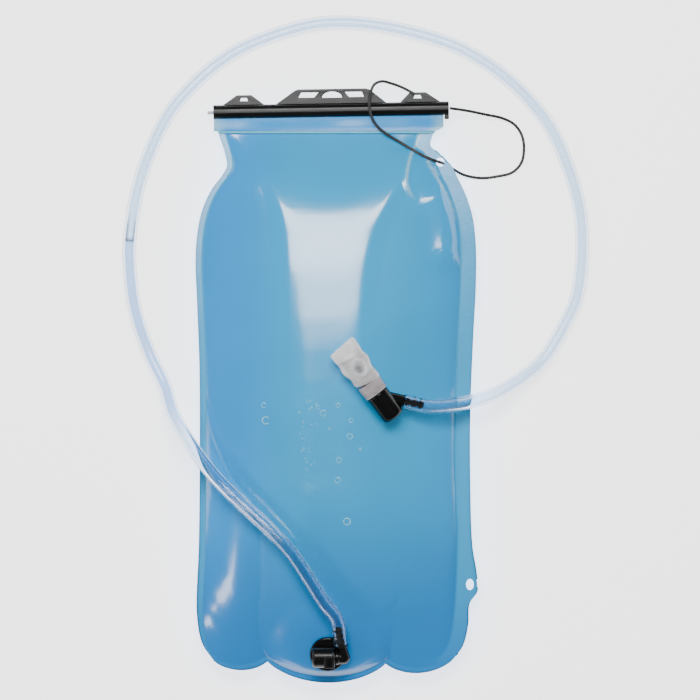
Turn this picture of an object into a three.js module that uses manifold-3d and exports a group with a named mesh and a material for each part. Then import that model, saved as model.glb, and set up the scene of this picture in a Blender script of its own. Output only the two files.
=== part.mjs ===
// A two-litre hydration bladder lying filled on its back: a welded film reservoir with a fold-over
// mouth and a slide closure, an outlet port with a quick-release plug, a drinking hose and a bite valve.
//
// Millimetres. +Z is up, away from the floor. +Y points to the mouth and +X to the side that the
// closure slides off. The origin is on the floor, under the middle of the reservoir.

import * as THREE from 'three';
import { mergeVertices } from 'three/addons/utils/BufferGeometryUtils.js';
import Module from 'manifold-3d';

const wasm = await Module();
wasm.setup();

// ------------------------------------------------------------------ driving dimensions

const GAP = 0.3; // clearance between pieces that touch

const FILM = {
  thickness: 0.8,
  seamZ: 16, // height of the welded seam above the floor
  weldLeft: 4.5,
  weldRight: 11,
  weldBottom: 5,
  crown: 30, // how far the filled front stands above the seam
  frontSideRun: 80, // distance from the weld over which the front swells
  frontBottomRun: 130,
  backSideRun: 28,
  backBottomRun: 30,
  frontNeck: [92, 176], // the swell fades out between these two heights along Y
  backNeck: [118, 176],
};

const MOUTH = {
  y: 192.8, // the hem rod's axis, which is also the middle of the closure
  left: -86,
  right: 75,
  slope: 0.0166, // the closure sits slightly askew
  rodRadius: 1.2,
  flapEnd: 178.8,
  beadRadius: 0.8,
};

const CLOSURE = { left: -86.4, right: 78.8, low: -4.3, high: 5.3, half: 5.35, cavity: 3.75 };

const PORT = {
  x: -6.2,
  y: -187.3,
  rise: 11,
  tilt: THREE.MathUtils.degToRad(18),
  axisN: 9, // height of the barrel's axis above the film
  flatFilm: [25, 46], // the film is flat inside the first radius and free beyond the second
};

const HOSE = { outer: 4.8, inner: 3.25, barbRadius: 2.7, lead: 7, sides: 8, steps: 52 };

const VALVE = {
  x: 28.1,
  y: -5.2,
  z: 57.8,
  heading: THREE.MathUtils.degToRad(127),
  rise: THREE.MathUtils.degToRad(6), // the mouthpiece points slightly up
};

const ELBOW = {
  cornerX: 11.2,
  lean: THREE.MathUtils.degToRad(10), // how far the arm leans back over the port
  armRadius: 3.7,
  collar: [8.6, 10],
  collarRadius: 4.9,
  barbEnd: 22.5,
};

const EYELET = { x: 72.7, y: 156.8, radius: 3.15 };
const TAB_HOLE = { x: 93.6, y: -139.5, halfWidth: 2.7, halfLength: 3.9 };

// ------------------------------------------------------------------ finishes

function finish(color, roughness, metalness = 0) {
  return new THREE.MeshStandardMaterial({ color, roughness, metalness });
}

const blueFilm = () => finish(0x12aee6, 0.18);
const blackPlastic = () => finish(0x1b1b1e, 0.38);
const strap = () => finish(0x111113, 0.6);
const rubber = () => finish(0x26262a, 0.7);
const steel = () => finish(0xb9bcc0, 0.3, 1);
const clearTube = () => finish(0xdfeaf4, 0.1);
const silicone = () => finish(0xb9bcc4, 0.45);
const acetal = () => finish(0xe6e6e2, 0.4);

// ------------------------------------------------------------------ small helpers

const model = new THREE.Group();

function piece(name, geometry, material, parent = model) {
  const mesh = new THREE.Mesh(geometry, material);
  mesh.name = name;
  parent.add(mesh);
  return mesh;
}

function welded(geometry) {
  const bare = geometry.clone();
  bare.deleteAttribute('normal');
  bare.deleteAttribute('uv');
  return mergeVertices(bare, 1e-4);
}

function solid(geometry) {
  const merged = welded(geometry);
  return new wasm.Manifold(new wasm.Mesh({
    numProp: 3,
    vertProperties: new Float32Array(merged.attributes.position.array),
    triVerts: new Uint32Array(merged.index.array),
  }));
}

function geometryOf(manifold) {
  const mesh = manifold.getMesh();
  const geometry = new THREE.BufferGeometry();
  geometry.setAttribute('position', new THREE.BufferAttribute(new Float32Array(mesh.vertProperties), 3));
  geometry.setIndex(new THREE.BufferAttribute(new Uint32Array(mesh.triVerts), 1));
  return geometry;
}

function carve(base, cuts) {
  return cuts.reduce((body, cut) => body.subtract(solid(cut)), base);
}

function join(shapes) {
  return shapes.map(solid).reduce((body, next) => body.add(next));
}

function box(low, high) {
  const size = high.map((value, i) => value - low[i]);
  const centre = high.map((value, i) => (value + low[i]) / 2);
  return new THREE.BoxGeometry(...size).translate(...centre);
}

// A rod along X between two stations.
function rodX(radius, from, to, y = 0, z = 0, sides = 16) {
  return new THREE.CylinderGeometry(radius, radius, to - from, sides)
    .rotateZ(-Math.PI / 2)
    .translate((from + to) / 2, y, z);
}

// A rod along Z between two heights.
function rodZ(radius, from, to, x = 0, y = 0, sides = 16) {
  return new THREE.CylinderGeometry(radius, radius, to - from, sides)
    .rotateX(Math.PI / 2)
    .translate(x, y, (from + to) / 2);
}

// A turned piece: the profile lists [radius, height] counter-clockwise, and its axis becomes Z.
function turned(profile, sides = 16) {
  const points = profile.map(([radius, height]) => new THREE.Vector2(radius, height));
  return new THREE.LatheGeometry(points, sides).rotateX(Math.PI / 2);
}

// A ring profile closes on itself.
function turnedRing(profile, sides = 16) {
  return turned([...profile, profile[0]], sides);
}

// Turns a piece whose axis is Z so that its axis is X.
function alongX(geometry) {
  return geometry.rotateY(Math.PI / 2);
}

function oRing(middleRadius, cordRadius, station) {
  return new THREE.TorusGeometry(middleRadius, cordRadius, 6, 16).translate(0, 0, station);
}

function coilSpring(radius, wire, length, turns) {
  class Helix extends THREE.Curve {
    getPoint(t, target = new THREE.Vector3()) {
      const angle = t * turns * 2 * Math.PI;
      return target.set(radius * Math.cos(angle), radius * Math.sin(angle), wire + t * (length - 2 * wire));
    }
  }
  const wireSection = new THREE.Shape().absarc(0, 0, wire, 0, 2 * Math.PI);
  return new THREE.ExtrudeGeometry(wireSection, {
    steps: turns * 8,
    curveSegments: 3,
    bevelEnabled: false,
    extrudePath: new Helix(),
  });
}

function smooth(from, to, value) {
  const t = THREE.MathUtils.clamp((value - from) / (to - from), 0, 1);
  return t * t * (3 - 2 * t);
}

function mix(a, b, t) {
  return a + (b - a) * t;
}

// ------------------------------------------------------------------ reservoir outline

function spline(points) {
  return new THREE.CatmullRomCurve3(points.map(([x, y]) => new THREE.Vector3(x, y, 0)), false, 'centripetal');
}

// Both side edges run from a bottom corner up to the mouth.
const leftEdge = spline([
  [-86.5, -192.5], [-94.2, -181], [-98, -161], [-96.6, -110], [-96, -40], [-96.3, 15], [-98, 60],
  [-99, 88], [-97.6, 108], [-94, 124], [-87.5, 138], [-80, 148], [-77, 154], [-78.6, 164],
  [-82.5, 176], [MOUTH.left, MOUTH.y + MOUTH.left * MOUTH.slope],
]);

const rightEdge = spline([
  [81.6, -192], [88.5, -183], [92.4, -168], [93.4, -153], [99, -144], [98.4, -131], [95.4, -112],
  [93.8, -60], [94, -15], [96, 35], [97.8, 70], [97.8, 98], [95.6, 118], [91, 133], [85.4, 145],
  [79.6, 156], [72.5, 163.2], [66, 168.2], [67.2, 175], [71.5, 183],
  [MOUTH.right, MOUTH.y + MOUTH.right * MOUTH.slope],
]);

// The bottom edge is three shallow lobes between notches.
const BOTTOM_NOTCHES = [[-86.5, -192.5], [-48.5, -193.3], [34.5, -194.8], [81.6, -192]];
const LOBE_DEPTH = [6.8, 14.4, 8.3];

function bottomY(x) {
  const i = x < BOTTOM_NOTCHES[1][0] ? 0 : x < BOTTOM_NOTCHES[2][0] ? 1 : 2;
  const [from, to] = [BOTTOM_NOTCHES[i], BOTTOM_NOTCHES[i + 1]];
  const t = (x - from[0]) / (to[0] - from[0]);
  return mix(from[1], to[1], t) - LOBE_DEPTH[i] * Math.pow(1 - (2 * t - 1) ** 2, 0.8);
}

// A point of the flat pattern, blended from the four edges: u runs left to right, v bottom to mouth.
function patternPoint(u, v) {
  const left = leftEdge.getPointAt(v);
  const right = rightEdge.getPointAt(v);
  const [lowLeft, lowRight] = [leftEdge.getPointAt(0), rightEdge.getPointAt(0)];
  const [topLeft, topRight] = [leftEdge.getPointAt(1), rightEdge.getPointAt(1)];
  const bottomX = mix(lowLeft.x, lowRight.x, u);
  const bottom = new THREE.Vector3(bottomX, bottomY(bottomX), 0);
  const top = topLeft.clone().lerp(topRight, u);
  const ruled = bottom.lerp(top, v);
  const sides = left.clone().lerp(right, u);
  const corners = lowLeft.clone().lerp(lowRight, u).lerp(topLeft.clone().lerp(topRight, u), v);
  const point = ruled.add(sides).sub(corners);
  return { x: point.x, y: point.y, width: right.x - left.x };
}

// ------------------------------------------------------------------ reservoir heights

const PATTERN_LENGTH = leftEdge.getLength();
const NOMINAL_WIDTH = 190;

// Columns stand on the bottom notches, and closer together beside the welds, where the film turns.
function columnStations() {
  const [start, , , end] = BOTTOM_NOTCHES.map(([x]) => x);
  const [leftNotch, rightNotch] = [1, 2].map((k) => (BOTTOM_NOTCHES[k][0] - start) / (end - start));
  const leftWeld = FILM.weldLeft / NOMINAL_WIDTH;
  const rightWeld = 1 - FILM.weldRight / NOMINAL_WIDTH;
  const sideColumns = 3;
  const middleColumns = 5;
  const crowded = (k) => (k / sideColumns) ** 1.5;
  const stations = [0];
  for (let k = 0; k < sideColumns; k += 1) {
    stations.push(mix(leftWeld, leftNotch, crowded(k)));
  }
  for (let k = 0; k < middleColumns; k += 1) {
    stations.push(mix(leftNotch, rightNotch, k / middleColumns));
  }
  for (let k = sideColumns; k >= 0; k -= 1) {
    stations.push(mix(rightWeld, rightNotch, crowded(k)));
  }
  return [...stations, 1];
}

const STATIONS = columnStations();
const COLUMNS = STATIONS.length - 1;

// Rows up the panel: close together under the port and at the shoulders, where the edges curve.
const ROWS = [
  0, FILM.weldBottom, 11, 20, 32, 44, 60, 90, 125, 165, 205, 245, 275, 295, 310, 322, 334, 346, 358, 372,
  PATTERN_LENGTH,
];
const PANEL_ROWS = ROWS.length - 1;

function rowStation(j) {
  return ROWS[j] / PATTERN_LENGTH;
}

function quarterRound(distance, run) {
  const t = THREE.MathUtils.clamp(distance / run, 0, 1);
  return Math.sqrt(1 - (1 - t) ** 2);
}

// How fully the film has swollen at a pattern point, from 0 at the welds to 1 in the middle.
function swell(i, j, at, sideRun, bottomRun, neck) {
  const [u, v] = [STATIONS[i], rowStation(j)];
  const fromLeft = (u - STATIONS[1]) * at.width;
  const fromRight = (STATIONS[COLUMNS - 1] - u) * at.width;
  const fromBottom = (v - rowStation(1)) * PATTERN_LENGTH;
  return quarterRound(fromLeft, sideRun) * quarterRound(fromRight, sideRun)
    * quarterRound(fromBottom, bottomRun) * (1 - smooth(neck[0], neck[1], at.y));
}

// The front film lies flat under the port, in a plane that slopes down to the bottom edge.
function portPlane(y) {
  return PORT.rise + Math.tan(PORT.tilt) * (y - PORT.y);
}

function frontRise(i, j, at) {
  const natural = FILM.crown * swell(i, j, at, FILM.frontSideRun, FILM.frontBottomRun, FILM.frontNeck);
  const fromPort = Math.hypot(at.x - PORT.x, at.y - PORT.y);
  const flat = 1 - smooth(...PORT.flatFilm, fromPort);
  return j < 2 ? natural : mix(natural, portPlane(at.y), flat);
}

function backDrop(i, j, at) {
  const depth = FILM.seamZ - GAP / 2 - FILM.thickness;
  return depth * swell(i, j, at, FILM.backSideRun, FILM.backBottomRun, FILM.backNeck);
}

// ------------------------------------------------------------------ mouth fold

// Centre line of one film layer through the fold, as rows of distance along Y from the rod's axis,
// height above it, and the direction that was the layer's upper side before it folded.
function foldRows(layer) {
  const turn = THREE.MathUtils.degToRad(60);
  const step = FILM.thickness + GAP;
  const wrap = MOUTH.rodRadius + GAP + FILM.thickness / 2 + layer * step;
  const reach = MOUTH.rodRadius + GAP + FILM.thickness / 2 + 2.2;
  const straight = 0.75;
  const back = 2.2 - layer * step;
  const centre = {
    y: reach * Math.cos(Math.PI / 2 + turn) - straight * Math.sin(Math.PI / 2 + turn),
    z: reach * Math.sin(Math.PI / 2 + turn) + straight * Math.cos(Math.PI / 2 + turn),
  };
  const rows = [];
  for (let k = 1; k <= 6; k += 1) {
    const angle = -Math.PI / 2 + (k * Math.PI) / 4.5;
    const [c, s] = [Math.cos(angle), Math.sin(angle)];
    rows.push({ y: wrap * c, z: wrap * s, ny: -c, nz: -s });
  }
  for (let k = 0; k <= 2; k += 1) {
    const angle = -Math.PI / 6 - (k * Math.PI) / 6;
    const [c, s] = [Math.cos(angle), Math.sin(angle)];
    rows.push({ y: centre.y + back * c, z: centre.z + back * s, ny: c, nz: s });
  }
  const flapZ = centre.z - back;
  rows.push({ y: -8.5, z: flapZ, ny: 0, nz: -1 });
  rows.push({ end: true, z: flapZ, ny: 0, nz: -1 });
  return rows;
}

const ROD_Z = FILM.seamZ + GAP / 2 + FILM.thickness + GAP + MOUTH.rodRadius;

// A film sheet: a thin slab whose grid is bent to the panel and then round the fold.
function filmSheet(side) {
  const rows = foldRows(side === 'front' ? 0 : 1);
  const total = PANEL_ROWS + rows.length;
  const slab = new THREE.BoxGeometry(1, 1, 1, COLUMNS, total, 1);
  const position = slab.attributes.position;
  for (let n = 0; n < position.count; n += 1) {
    const i = Math.round((position.getX(n) + 0.5) * COLUMNS);
    const j = Math.round((position.getY(n) + 0.5) * total);
    const upper = position.getZ(n) > 0 ? 1 : 0;
    const folded = rows[j - PANEL_ROWS - 1];
    position.setXYZ(n, ...(folded ? foldPoint(folded, i, upper) : panelPoint(side, i, j, upper)));
  }
  return slab;
}

function panelPoint(side, i, j, upper) {
  const at = patternPoint(STATIONS[i], rowStation(j));
  const low = side === 'front'
    ? FILM.seamZ + GAP / 2 + frontRise(i, j, at)
    : FILM.seamZ - GAP / 2 - FILM.thickness - backDrop(i, j, at);
  return [at.x, at.y, low + upper * FILM.thickness];
}

function foldPoint(row, i, upper) {
  const inset = row.end ? [1.6, 4.6] : [0, 0];
  const x = mix(MOUTH.left + inset[0], MOUTH.right - inset[1], STATIONS[i]);
  const y = row.end ? MOUTH.flapEnd : MOUTH.y + x * MOUTH.slope + row.y;
  const offset = (upper - 0.5) * FILM.thickness;
  return [x, y + offset * row.ny, ROD_Z + row.z + offset * row.nz];
}

function filmHoles() {
  const tab = rodZ(1, 0, 30)
    .scale(TAB_HOLE.halfWidth, TAB_HOLE.halfLength, 1)
    .translate(TAB_HOLE.x, TAB_HOLE.y, 0);
  return [rodZ(EYELET.radius, 0, 30, EYELET.x, EYELET.y), tab];
}

function portHole() {
  return rodZ(6.8, -6, 6)
    .rotateX(PORT.tilt)
    .translate(PORT.x, PORT.y, portFaceZ());
}

function portFaceZ() {
  return FILM.seamZ + GAP / 2 + FILM.thickness + PORT.rise;
}

function buildReservoir() {
  const front = carve(solid(filmSheet('front')), [...filmHoles(), portHole()]);
  piece('front_panel', geometryOf(front), blueFilm());
  const back = carve(solid(filmSheet('back')), filmHoles());
  piece('back_panel', geometryOf(back), blueFilm());
}

function buildMouth() {
  const skew = Math.atan(MOUTH.slope);
  const rod = rodX(MOUTH.rodRadius, MOUTH.left - 4.5, MOUTH.right - 0.5, 0, 0, 12)
    .rotateZ(skew)
    .translate(0, MOUTH.y, ROD_Z);
  piece('hem_rod', rod, acetal());
  const beadY = MOUTH.flapEnd - GAP - MOUTH.beadRadius;
  const ends = [MOUTH.left + 2.6, MOUTH.right - 5.4];
  const frontZ = FILM.seamZ + GAP / 2 + FILM.thickness + GAP + MOUTH.beadRadius;
  const rearZ = frontZ + 2 * MOUTH.beadRadius + GAP;
  piece('front_lip_bead', rodX(MOUTH.beadRadius, ...ends, beadY, frontZ, 8), blueFilm());
  piece('rear_lip_bead', rodX(MOUTH.beadRadius, ...ends, beadY, rearZ, 8), blueFilm());
}

// ------------------------------------------------------------------ closure slider

// C-shaped section of the channel in (Y, Z), open towards the bag.
function channelSection() {
  const { low, high, half, cavity } = CLOSURE;
  const corner = 4;
  const lipAngle = THREE.MathUtils.degToRad(150);
  const shape = new THREE.Shape();
  shape.moveTo(-3.6, -cavity);
  shape.absarc(low + corner, -half + corner, corner, Math.PI * 1.2, Math.PI * 1.5);
  shape.absarc(high - corner, -half + corner, corner, Math.PI * 1.5, Math.PI * 2);
  shape.absarc(high - corner, half - corner, corner, 0, Math.PI / 2);
  shape.absarc(low + corner, half - corner, corner, Math.PI / 2, Math.PI * 0.96);
  shape.lineTo(cavity * Math.cos(lipAngle), cavity * Math.sin(lipAngle));
  shape.absarc(0, 0, cavity, lipAngle, -Math.PI / 2, true);
  return shape;
}

// Moves an extrusion drawn in (Y, Z) so that its length lies along X.
function extrudedAlongX(shape, from, to, curveSegments = 5) {
  const geometry = new THREE.ExtrudeGeometry(shape, { depth: to - from, bevelEnabled: false, curveSegments });
  const turn = new THREE.Matrix4().set(0, 0, 1, from, 1, 0, 0, 0, 0, 1, 0, 0, 0, 0, 0, 1);
  return geometry.applyMatrix4(turn);
}

function outline(points) {
  return new THREE.Shape(points.map(([x, y]) => new THREE.Vector2(x, y)));
}

function plate(shape, halfThickness) {
  return new THREE.ExtrudeGeometry(shape, { depth: 2 * halfThickness, bevelEnabled: false, curveSegments: 8 })
    .translate(0, 0, -halfThickness);
}

function handleWindows() {
  const left = outline([[-27.6, 8.7], [-15.4, 8.7], [-11.2, 13.4], [-24.4, 13.4]]);
  const right = outline([[9.2, 8.7], [20.4, 8.7], [18.4, 13.4], [5.4, 13.4]]);
  const centre = new THREE.Shape();
  centre.moveTo(-10.6, 8.7);
  centre.lineTo(4.6, 8.7);
  centre.absellipse(-3, 8.7, 7.6, 5, 0, Math.PI);
  return [left, right, centre];
}

function wingHole(x) {
  return outline([[x - 2.8, 7.8], [x + 2.8, 7.8], [x + 2, 10], [x - 2, 10]]);
}

function buildClosure() {
  const group = new THREE.Group();
  group.position.set(0, MOUTH.y, ROD_Z);
  group.rotation.z = Math.atan(MOUTH.slope);
  model.add(group);
  const { left, right, high, half } = CLOSURE;
  const root = high - 1.2;
  const handle = outline([
    [-42.3, root], [34.9, root], [34.9, high], [23.4, 14.6], [20.6, 15.4], [-26.6, 15.4], [-29, 14.6],
    [-42.3, high],
  ]);
  const leftWing = outline([
    [-79.5, root], [-50.8, root], [-50.8, high], [-59.6, 12], [-69.8, 12], [-79.5, high],
  ]);
  const rightWing = outline([
    [44.8, root], [72.8, root], [72.8, high], [62.8, 12], [51.4, 12], [44.8, high],
  ]);
  const endWall = box([right - 3.2, -3.4, -4], [right, 3.6, 4]);
  const stopStub = box([right - 3.2, -7.2, -2.4], [right, -3.2, 2.4]);
  const body = join([
    extrudedAlongX(channelSection(), left, right),
    plate(handle, 1.7),
    plate(leftWing, 1.5),
    plate(rightWing, 1.5),
    endWall,
    stopStub,
  ]);
  const cuts = [
    ...handleWindows().map((shape) => plate(shape, 4)),
    plate(wingHole(-64.8), 4),
    plate(wingHole(57), 4),
    box([left + 0.9, -1.4, -2 * half], [left + 2.4, 4.4, 2 * half]),
  ];
  piece('closure_slider', geometryOf(carve(body, cuts)), blackPlastic(), group);
}

// ------------------------------------------------------------------ outlet port

// The port stands on the sloping film: its own Z is the film's outward direction.
const port = new THREE.Group();
port.position.set(PORT.x, PORT.y, portFaceZ());
port.rotation.x = PORT.tilt;
model.add(port);

const BARREL = { radius: 7.2, left: -10.8, right: 5, bore: 4.3, chamfer: 1.4 };
const SEAT = [-1.5, -0.7];
const LATCH = [2.9, 4.3];
const BUTTON_TRAVEL = 1.5;

function buildPortBase() {
  const flange = turnedRing([[4.4, -3], [12, -3], [12, -1.05], [6.2, -1.05], [6.2, 2.6], [4.4, 2.6]]);
  piece('port_flange', flange, blackPlastic(), port);
  piece('port_gasket', turnedRing([[7, 0.3], [10.5, 0.3], [10.5, 1.1], [7, 1.1]]), rubber(), port);
}

function buildPortHousing() {
  const z = PORT.axisN;
  const { radius, left, right, bore, chamfer } = BARREL;
  const barrel = turned([
    [0, left], [radius - chamfer, left], [radius, left + chamfer], [radius, right], [0, right],
  ], 20);
  const body = join([
    turned([[0, 0.3], [12.2, 0.3], [12.5, 0.9], [12.5, 2.6], [11.7, 3.4], [0, 3.4]], 28),
    box([-9.6, -6, 3], [right, 6, z]),
    alongX(barrel).translate(0, 0, z),
  ]);
  const cuts = [
    rodZ(6.5, -1, 2.9),
    turnedRing([[6.4, 0], [10.8, 0], [10.8, 1.4], [6.4, 1.4]]),
    rodZ(1.6, 2, z - 1, -3.6),
    rodX(4.9, left - 1, left + 1.8, 0, z),
    rodX(bore, left + 1.6, SEAT[0], 0, z),
    rodX(2.5, SEAT[0] - 1, SEAT[1] + 1, 0, z),
    rodX(bore, SEAT[1], right + 1, 0, z),
    box([LATCH[0], -5.9, 5.4], [LATCH[1], 5.9, z + radius + 2]),
    rodZ(2.3, z + bore + 1.1, z + radius + 2, 0.2),
  ];
  piece('port_housing', geometryOf(carve(body, cuts)), blackPlastic(), port);
  const coinSlot = box([left - 1, -3, z - 0.6], [left + 0.8, 3, z + 0.6]);
  const cap = carve(solid(rodX(4.6, left + 0.2, left + 1.5, 0, z)), [coinSlot]);
  piece('chamber_cap', geometryOf(cap), blackPlastic(), port);
}

function buildShutoff() {
  const z = PORT.axisN;
  const poppet = alongX(turned([[0, -5.3], [3.7, -5.3], [3.7, -4], [2, -3.5], [2, -0.7], [0, -0.7]]));
  piece('shutoff_poppet', poppet.translate(0, 0, z), acetal(), port);
  const spring = alongX(coilSpring(2.4, 0.35, 3.3, 3));
  piece('poppet_spring', spring.translate(BARREL.left + 1.9, 0, z), steel(), port);
}

function buildReleaseButton() {
  const top = PORT.axisN + BARREL.radius;
  const pad = join([
    box([-2.5, -4.4, top + BUTTON_TRAVEL + GAP], [4.6, 4.4, top + 3.2]),
    box([-1.9, -3.8, top + 3], [4, 3.8, top + 4]),
  ]);
  const slot = box([LATCH[0], -3.3, top + 1], [LATCH[1], 3.3, top + 3.1]);
  piece('release_button', geometryOf(carve(pad, [slot])), blackPlastic(), port);
  const fork = join([
    box([LATCH[0] + GAP, -5.6, 7.4], [LATCH[1] - GAP, -4.3, 15]),
    box([LATCH[0] + GAP, 4.3, 7.4], [LATCH[1] - GAP, 5.6, 15]),
    box([LATCH[0] + GAP, -5.6, 14.6], [LATCH[1] - GAP, 5.6, 16.2]),
    box([LATCH[0] + GAP, -3, 16], [LATCH[1] - GAP, 3, top + 2.8]),
  ]);
  piece('latch_plate', geometryOf(fork), steel(), port);
  const spring = coilSpring(1.5, 0.28, 3.3, 3).translate(0.2, 0, PORT.axisN + BARREL.bore + 1.4);
  piece('button_spring', spring, steel(), port);
}

// ------------------------------------------------------------------ plug and elbow

function buildPlug() {
  const z = PORT.axisN;
  const spigot = turnedRing([
    [1.5, -0.4], [3.9, -0.4], [3.9, 0.6], [3, 0.6], [3, 2.1], [3.9, 2.1], [3.9, 2.6], [3.1, 2.6],
    [3.1, 4.6], [3.9, 4.6], [3.9, 5], [3.1, 5], [3.1, 7.4], [2.2, 7.4], [2.2, 8.6], [3.1, 8.6],
    [3.1, 10.6], [1.5, 10.6],
  ]);
  const noseSlots = [box([-1, -0.6, -5], [1.2, 0.6, 5]), box([-1, -5, -0.6], [1.2, 5, 0.6])];
  const body = carve(solid(alongX(spigot)), noseSlots);
  piece('plug_spigot', geometryOf(body.translate([0, 0, z])), blackPlastic(), port);
  piece('spigot_o_ring', alongX(oRing(3.65, 0.35, 1.35)).translate(0, 0, z), rubber(), port);
  piece('swivel_o_ring', alongX(oRing(2.8, 0.3, 8)).translate(0, 0, z), rubber(), port);
}

// A barb: three teeth that widen towards the piece and a bore through its middle.
function barb(radius, from, to) {
  const pitch = (to - from) / 3;
  const profile = [[0, from - 0.5], [radius - 0.5, from - 0.5]];
  for (let k = 0; k < 3; k += 1) {
    profile.push([radius - 0.5, from + k * pitch], [radius, from + (k + 0.25) * pitch]);
    profile.push([radius - 0.5, from + (k + 0.95) * pitch]);
  }
  profile.push([0, to]);
  return turned(profile, 12);
}

// Turns a piece whose axis is Z into the elbow's arm, which starts at the corner.
function elbowArm(geometry) {
  return geometry.rotateX(-Math.PI / 2).rotateZ(ELBOW.lean).translate(ELBOW.cornerX, 0, PORT.axisN);
}

// A point on the arm's axis, in the port's own frame.
function elbowPoint(distance) {
  return new THREE.Vector3(
    ELBOW.cornerX - distance * Math.sin(ELBOW.lean),
    distance * Math.cos(ELBOW.lean),
    PORT.axisN,
  );
}

function buildElbow() {
  const z = PORT.axisN;
  const { cornerX, armRadius, collar, collarRadius, barbEnd } = ELBOW;
  const body = join([
    rodX(4.6, BARREL.right + 0.4, cornerX, 0, z),
    new THREE.SphereGeometry(4.6, 16, 8).rotateZ(Math.PI / 2).translate(cornerX, 0, z),
    elbowArm(rodZ(armRadius, 0, collar[1] - 0.4)),
    elbowArm(rodZ(collarRadius, ...collar)),
    elbowArm(barb(HOSE.barbRadius, collar[1], barbEnd)),
  ]);
  const cuts = [
    rodX(3.4, BARREL.right, cornerX - 0.2, 0, z),
    elbowArm(rodZ(1.5, 0, barbEnd + 1, 0, 0, 12)),
  ];
  piece('hose_elbow', geometryOf(carve(body, cuts)), blackPlastic(), port);
}

// ------------------------------------------------------------------ bite valve

// The valve lies on the front panel. Its own Z runs from the body to the mouthpiece and its own
// Y points up. Its side arm leaves towards the right edge of the bag and slightly down.
const valve = new THREE.Group();
valve.position.set(VALVE.x, VALVE.y, VALVE.z);
valve.setRotationFromMatrix(new THREE.Matrix4().makeBasis(
  new THREE.Vector3(-Math.sin(VALVE.heading), Math.cos(VALVE.heading), 0),
  new THREE.Vector3(0, 0, 1),
  new THREE.Vector3(Math.cos(VALVE.heading), Math.sin(VALVE.heading), 0),
));
valve.rotateX(-VALVE.rise);
model.add(valve);

const VALVE_ARM = {
  rootZ: -2,
  heading: THREE.MathUtils.degToRad(-12),
  fall: THREE.MathUtils.degToRad(12),
  radius: 4.1,
  shoulder: 18.2,
  barbEnd: 32.5,
};

function valveArmDirection() {
  const { heading, fall } = VALVE_ARM;
  return new THREE.Vector3(
    Math.cos(fall) * Math.cos(heading),
    Math.cos(fall) * Math.sin(heading),
    -Math.sin(fall),
  );
}

function valveArm(geometry) {
  const inValve = valveArmDirection().applyQuaternion(valve.quaternion.clone().invert());
  const turn = new THREE.Quaternion().setFromUnitVectors(new THREE.Vector3(0, 0, 1), inValve);
  return geometry.applyQuaternion(turn).translate(0, 0, VALVE_ARM.rootZ);
}

function buildValveBody() {
  const { radius, shoulder, barbEnd } = VALVE_ARM;
  const body = join([
    turned([[0, -21], [6.3, -21], [8.1, -19.2], [8.1, -0.2], [5.3, -0.2], [5.3, 6], [0, 6]], 22),
    valveArm(rodZ(radius, 0, shoulder)),
    valveArm(barb(HOSE.barbRadius, shoulder, barbEnd)),
  ]);
  const cuts = [rodZ(4.2, -17, 7), valveArm(rodZ(1.6, 0, barbEnd + 1, 0, 0, 12))];
  piece('bite_valve_body', geometryOf(carve(body, cuts)), blackPlastic(), valve);
}

function buildValveStem() {
  const stem = turnedRing([
    [1.6, -16.6], [3.9, -16.6], [3.9, -1], [3, -1], [3, 0.6], [3.9, 0.6], [3.9, 8], [3.3, 9],
    [3.3, 20], [1.6, 20],
  ]);
  const sidePort = valveArm(rodZ(1.6, 0, 8, 0, 0, 12));
  piece('valve_stem', geometryOf(carve(solid(stem), [sidePort])), acetal(), valve);
  piece('stem_o_ring', oRing(3.65, 0.35, -0.2), rubber(), valve);
}

function buildValveCollar() {
  const profile = [[5.6, 0.1], [8.2, 0.1], [8.8, 0.6]];
  for (let k = 0; k < 3; k += 1) {
    profile.push([8.9, 1.6 + 2.4 * k], [8.4, 2.3 + 2.4 * k], [8.9, 3 + 2.4 * k]);
  }
  profile.push([8.6, 9.6], [5.6, 9.6]);
  piece('valve_collar', turnedRing(profile, 20), silicone(), valve);
}

// The mouthpiece is round at its base and flattens into a wide bite at its tip.
function buildMouthpiece() {
  const radius = 8.6;
  const geometry = turnedRing([
    [6, 9.9], [8, 9.9], [radius, 11], [radius, 16], [radius, 22], [radius, 28], [radius, 35],
    [radius, 40], [7.4, 41.4], [0, 41.4], [0, 38.4], [5.6, 38.4], [6.6, 30], [6.6, 21], [6, 19],
  ], 22);
  const position = geometry.attributes.position;
  for (let n = 0; n < position.count; n += 1) {
    const along = smooth(11, 28, position.getZ(n));
    const wide = mix(1.02, 1.27, along) - 0.13 * smooth(28, 41, position.getZ(n));
    const thick = mix(0.94, 0.66, along) - 0.24 * smooth(28, 41, position.getZ(n));
    position.setXYZ(n, position.getX(n) * wide, position.getY(n) * thick, position.getZ(n));
  }
  piece('mouthpiece', geometry, silicone(), valve);
}

// ------------------------------------------------------------------ hose and tether

function vectors(points) {
  return points.map((point) => new THREE.Vector3(...point));
}

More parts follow.
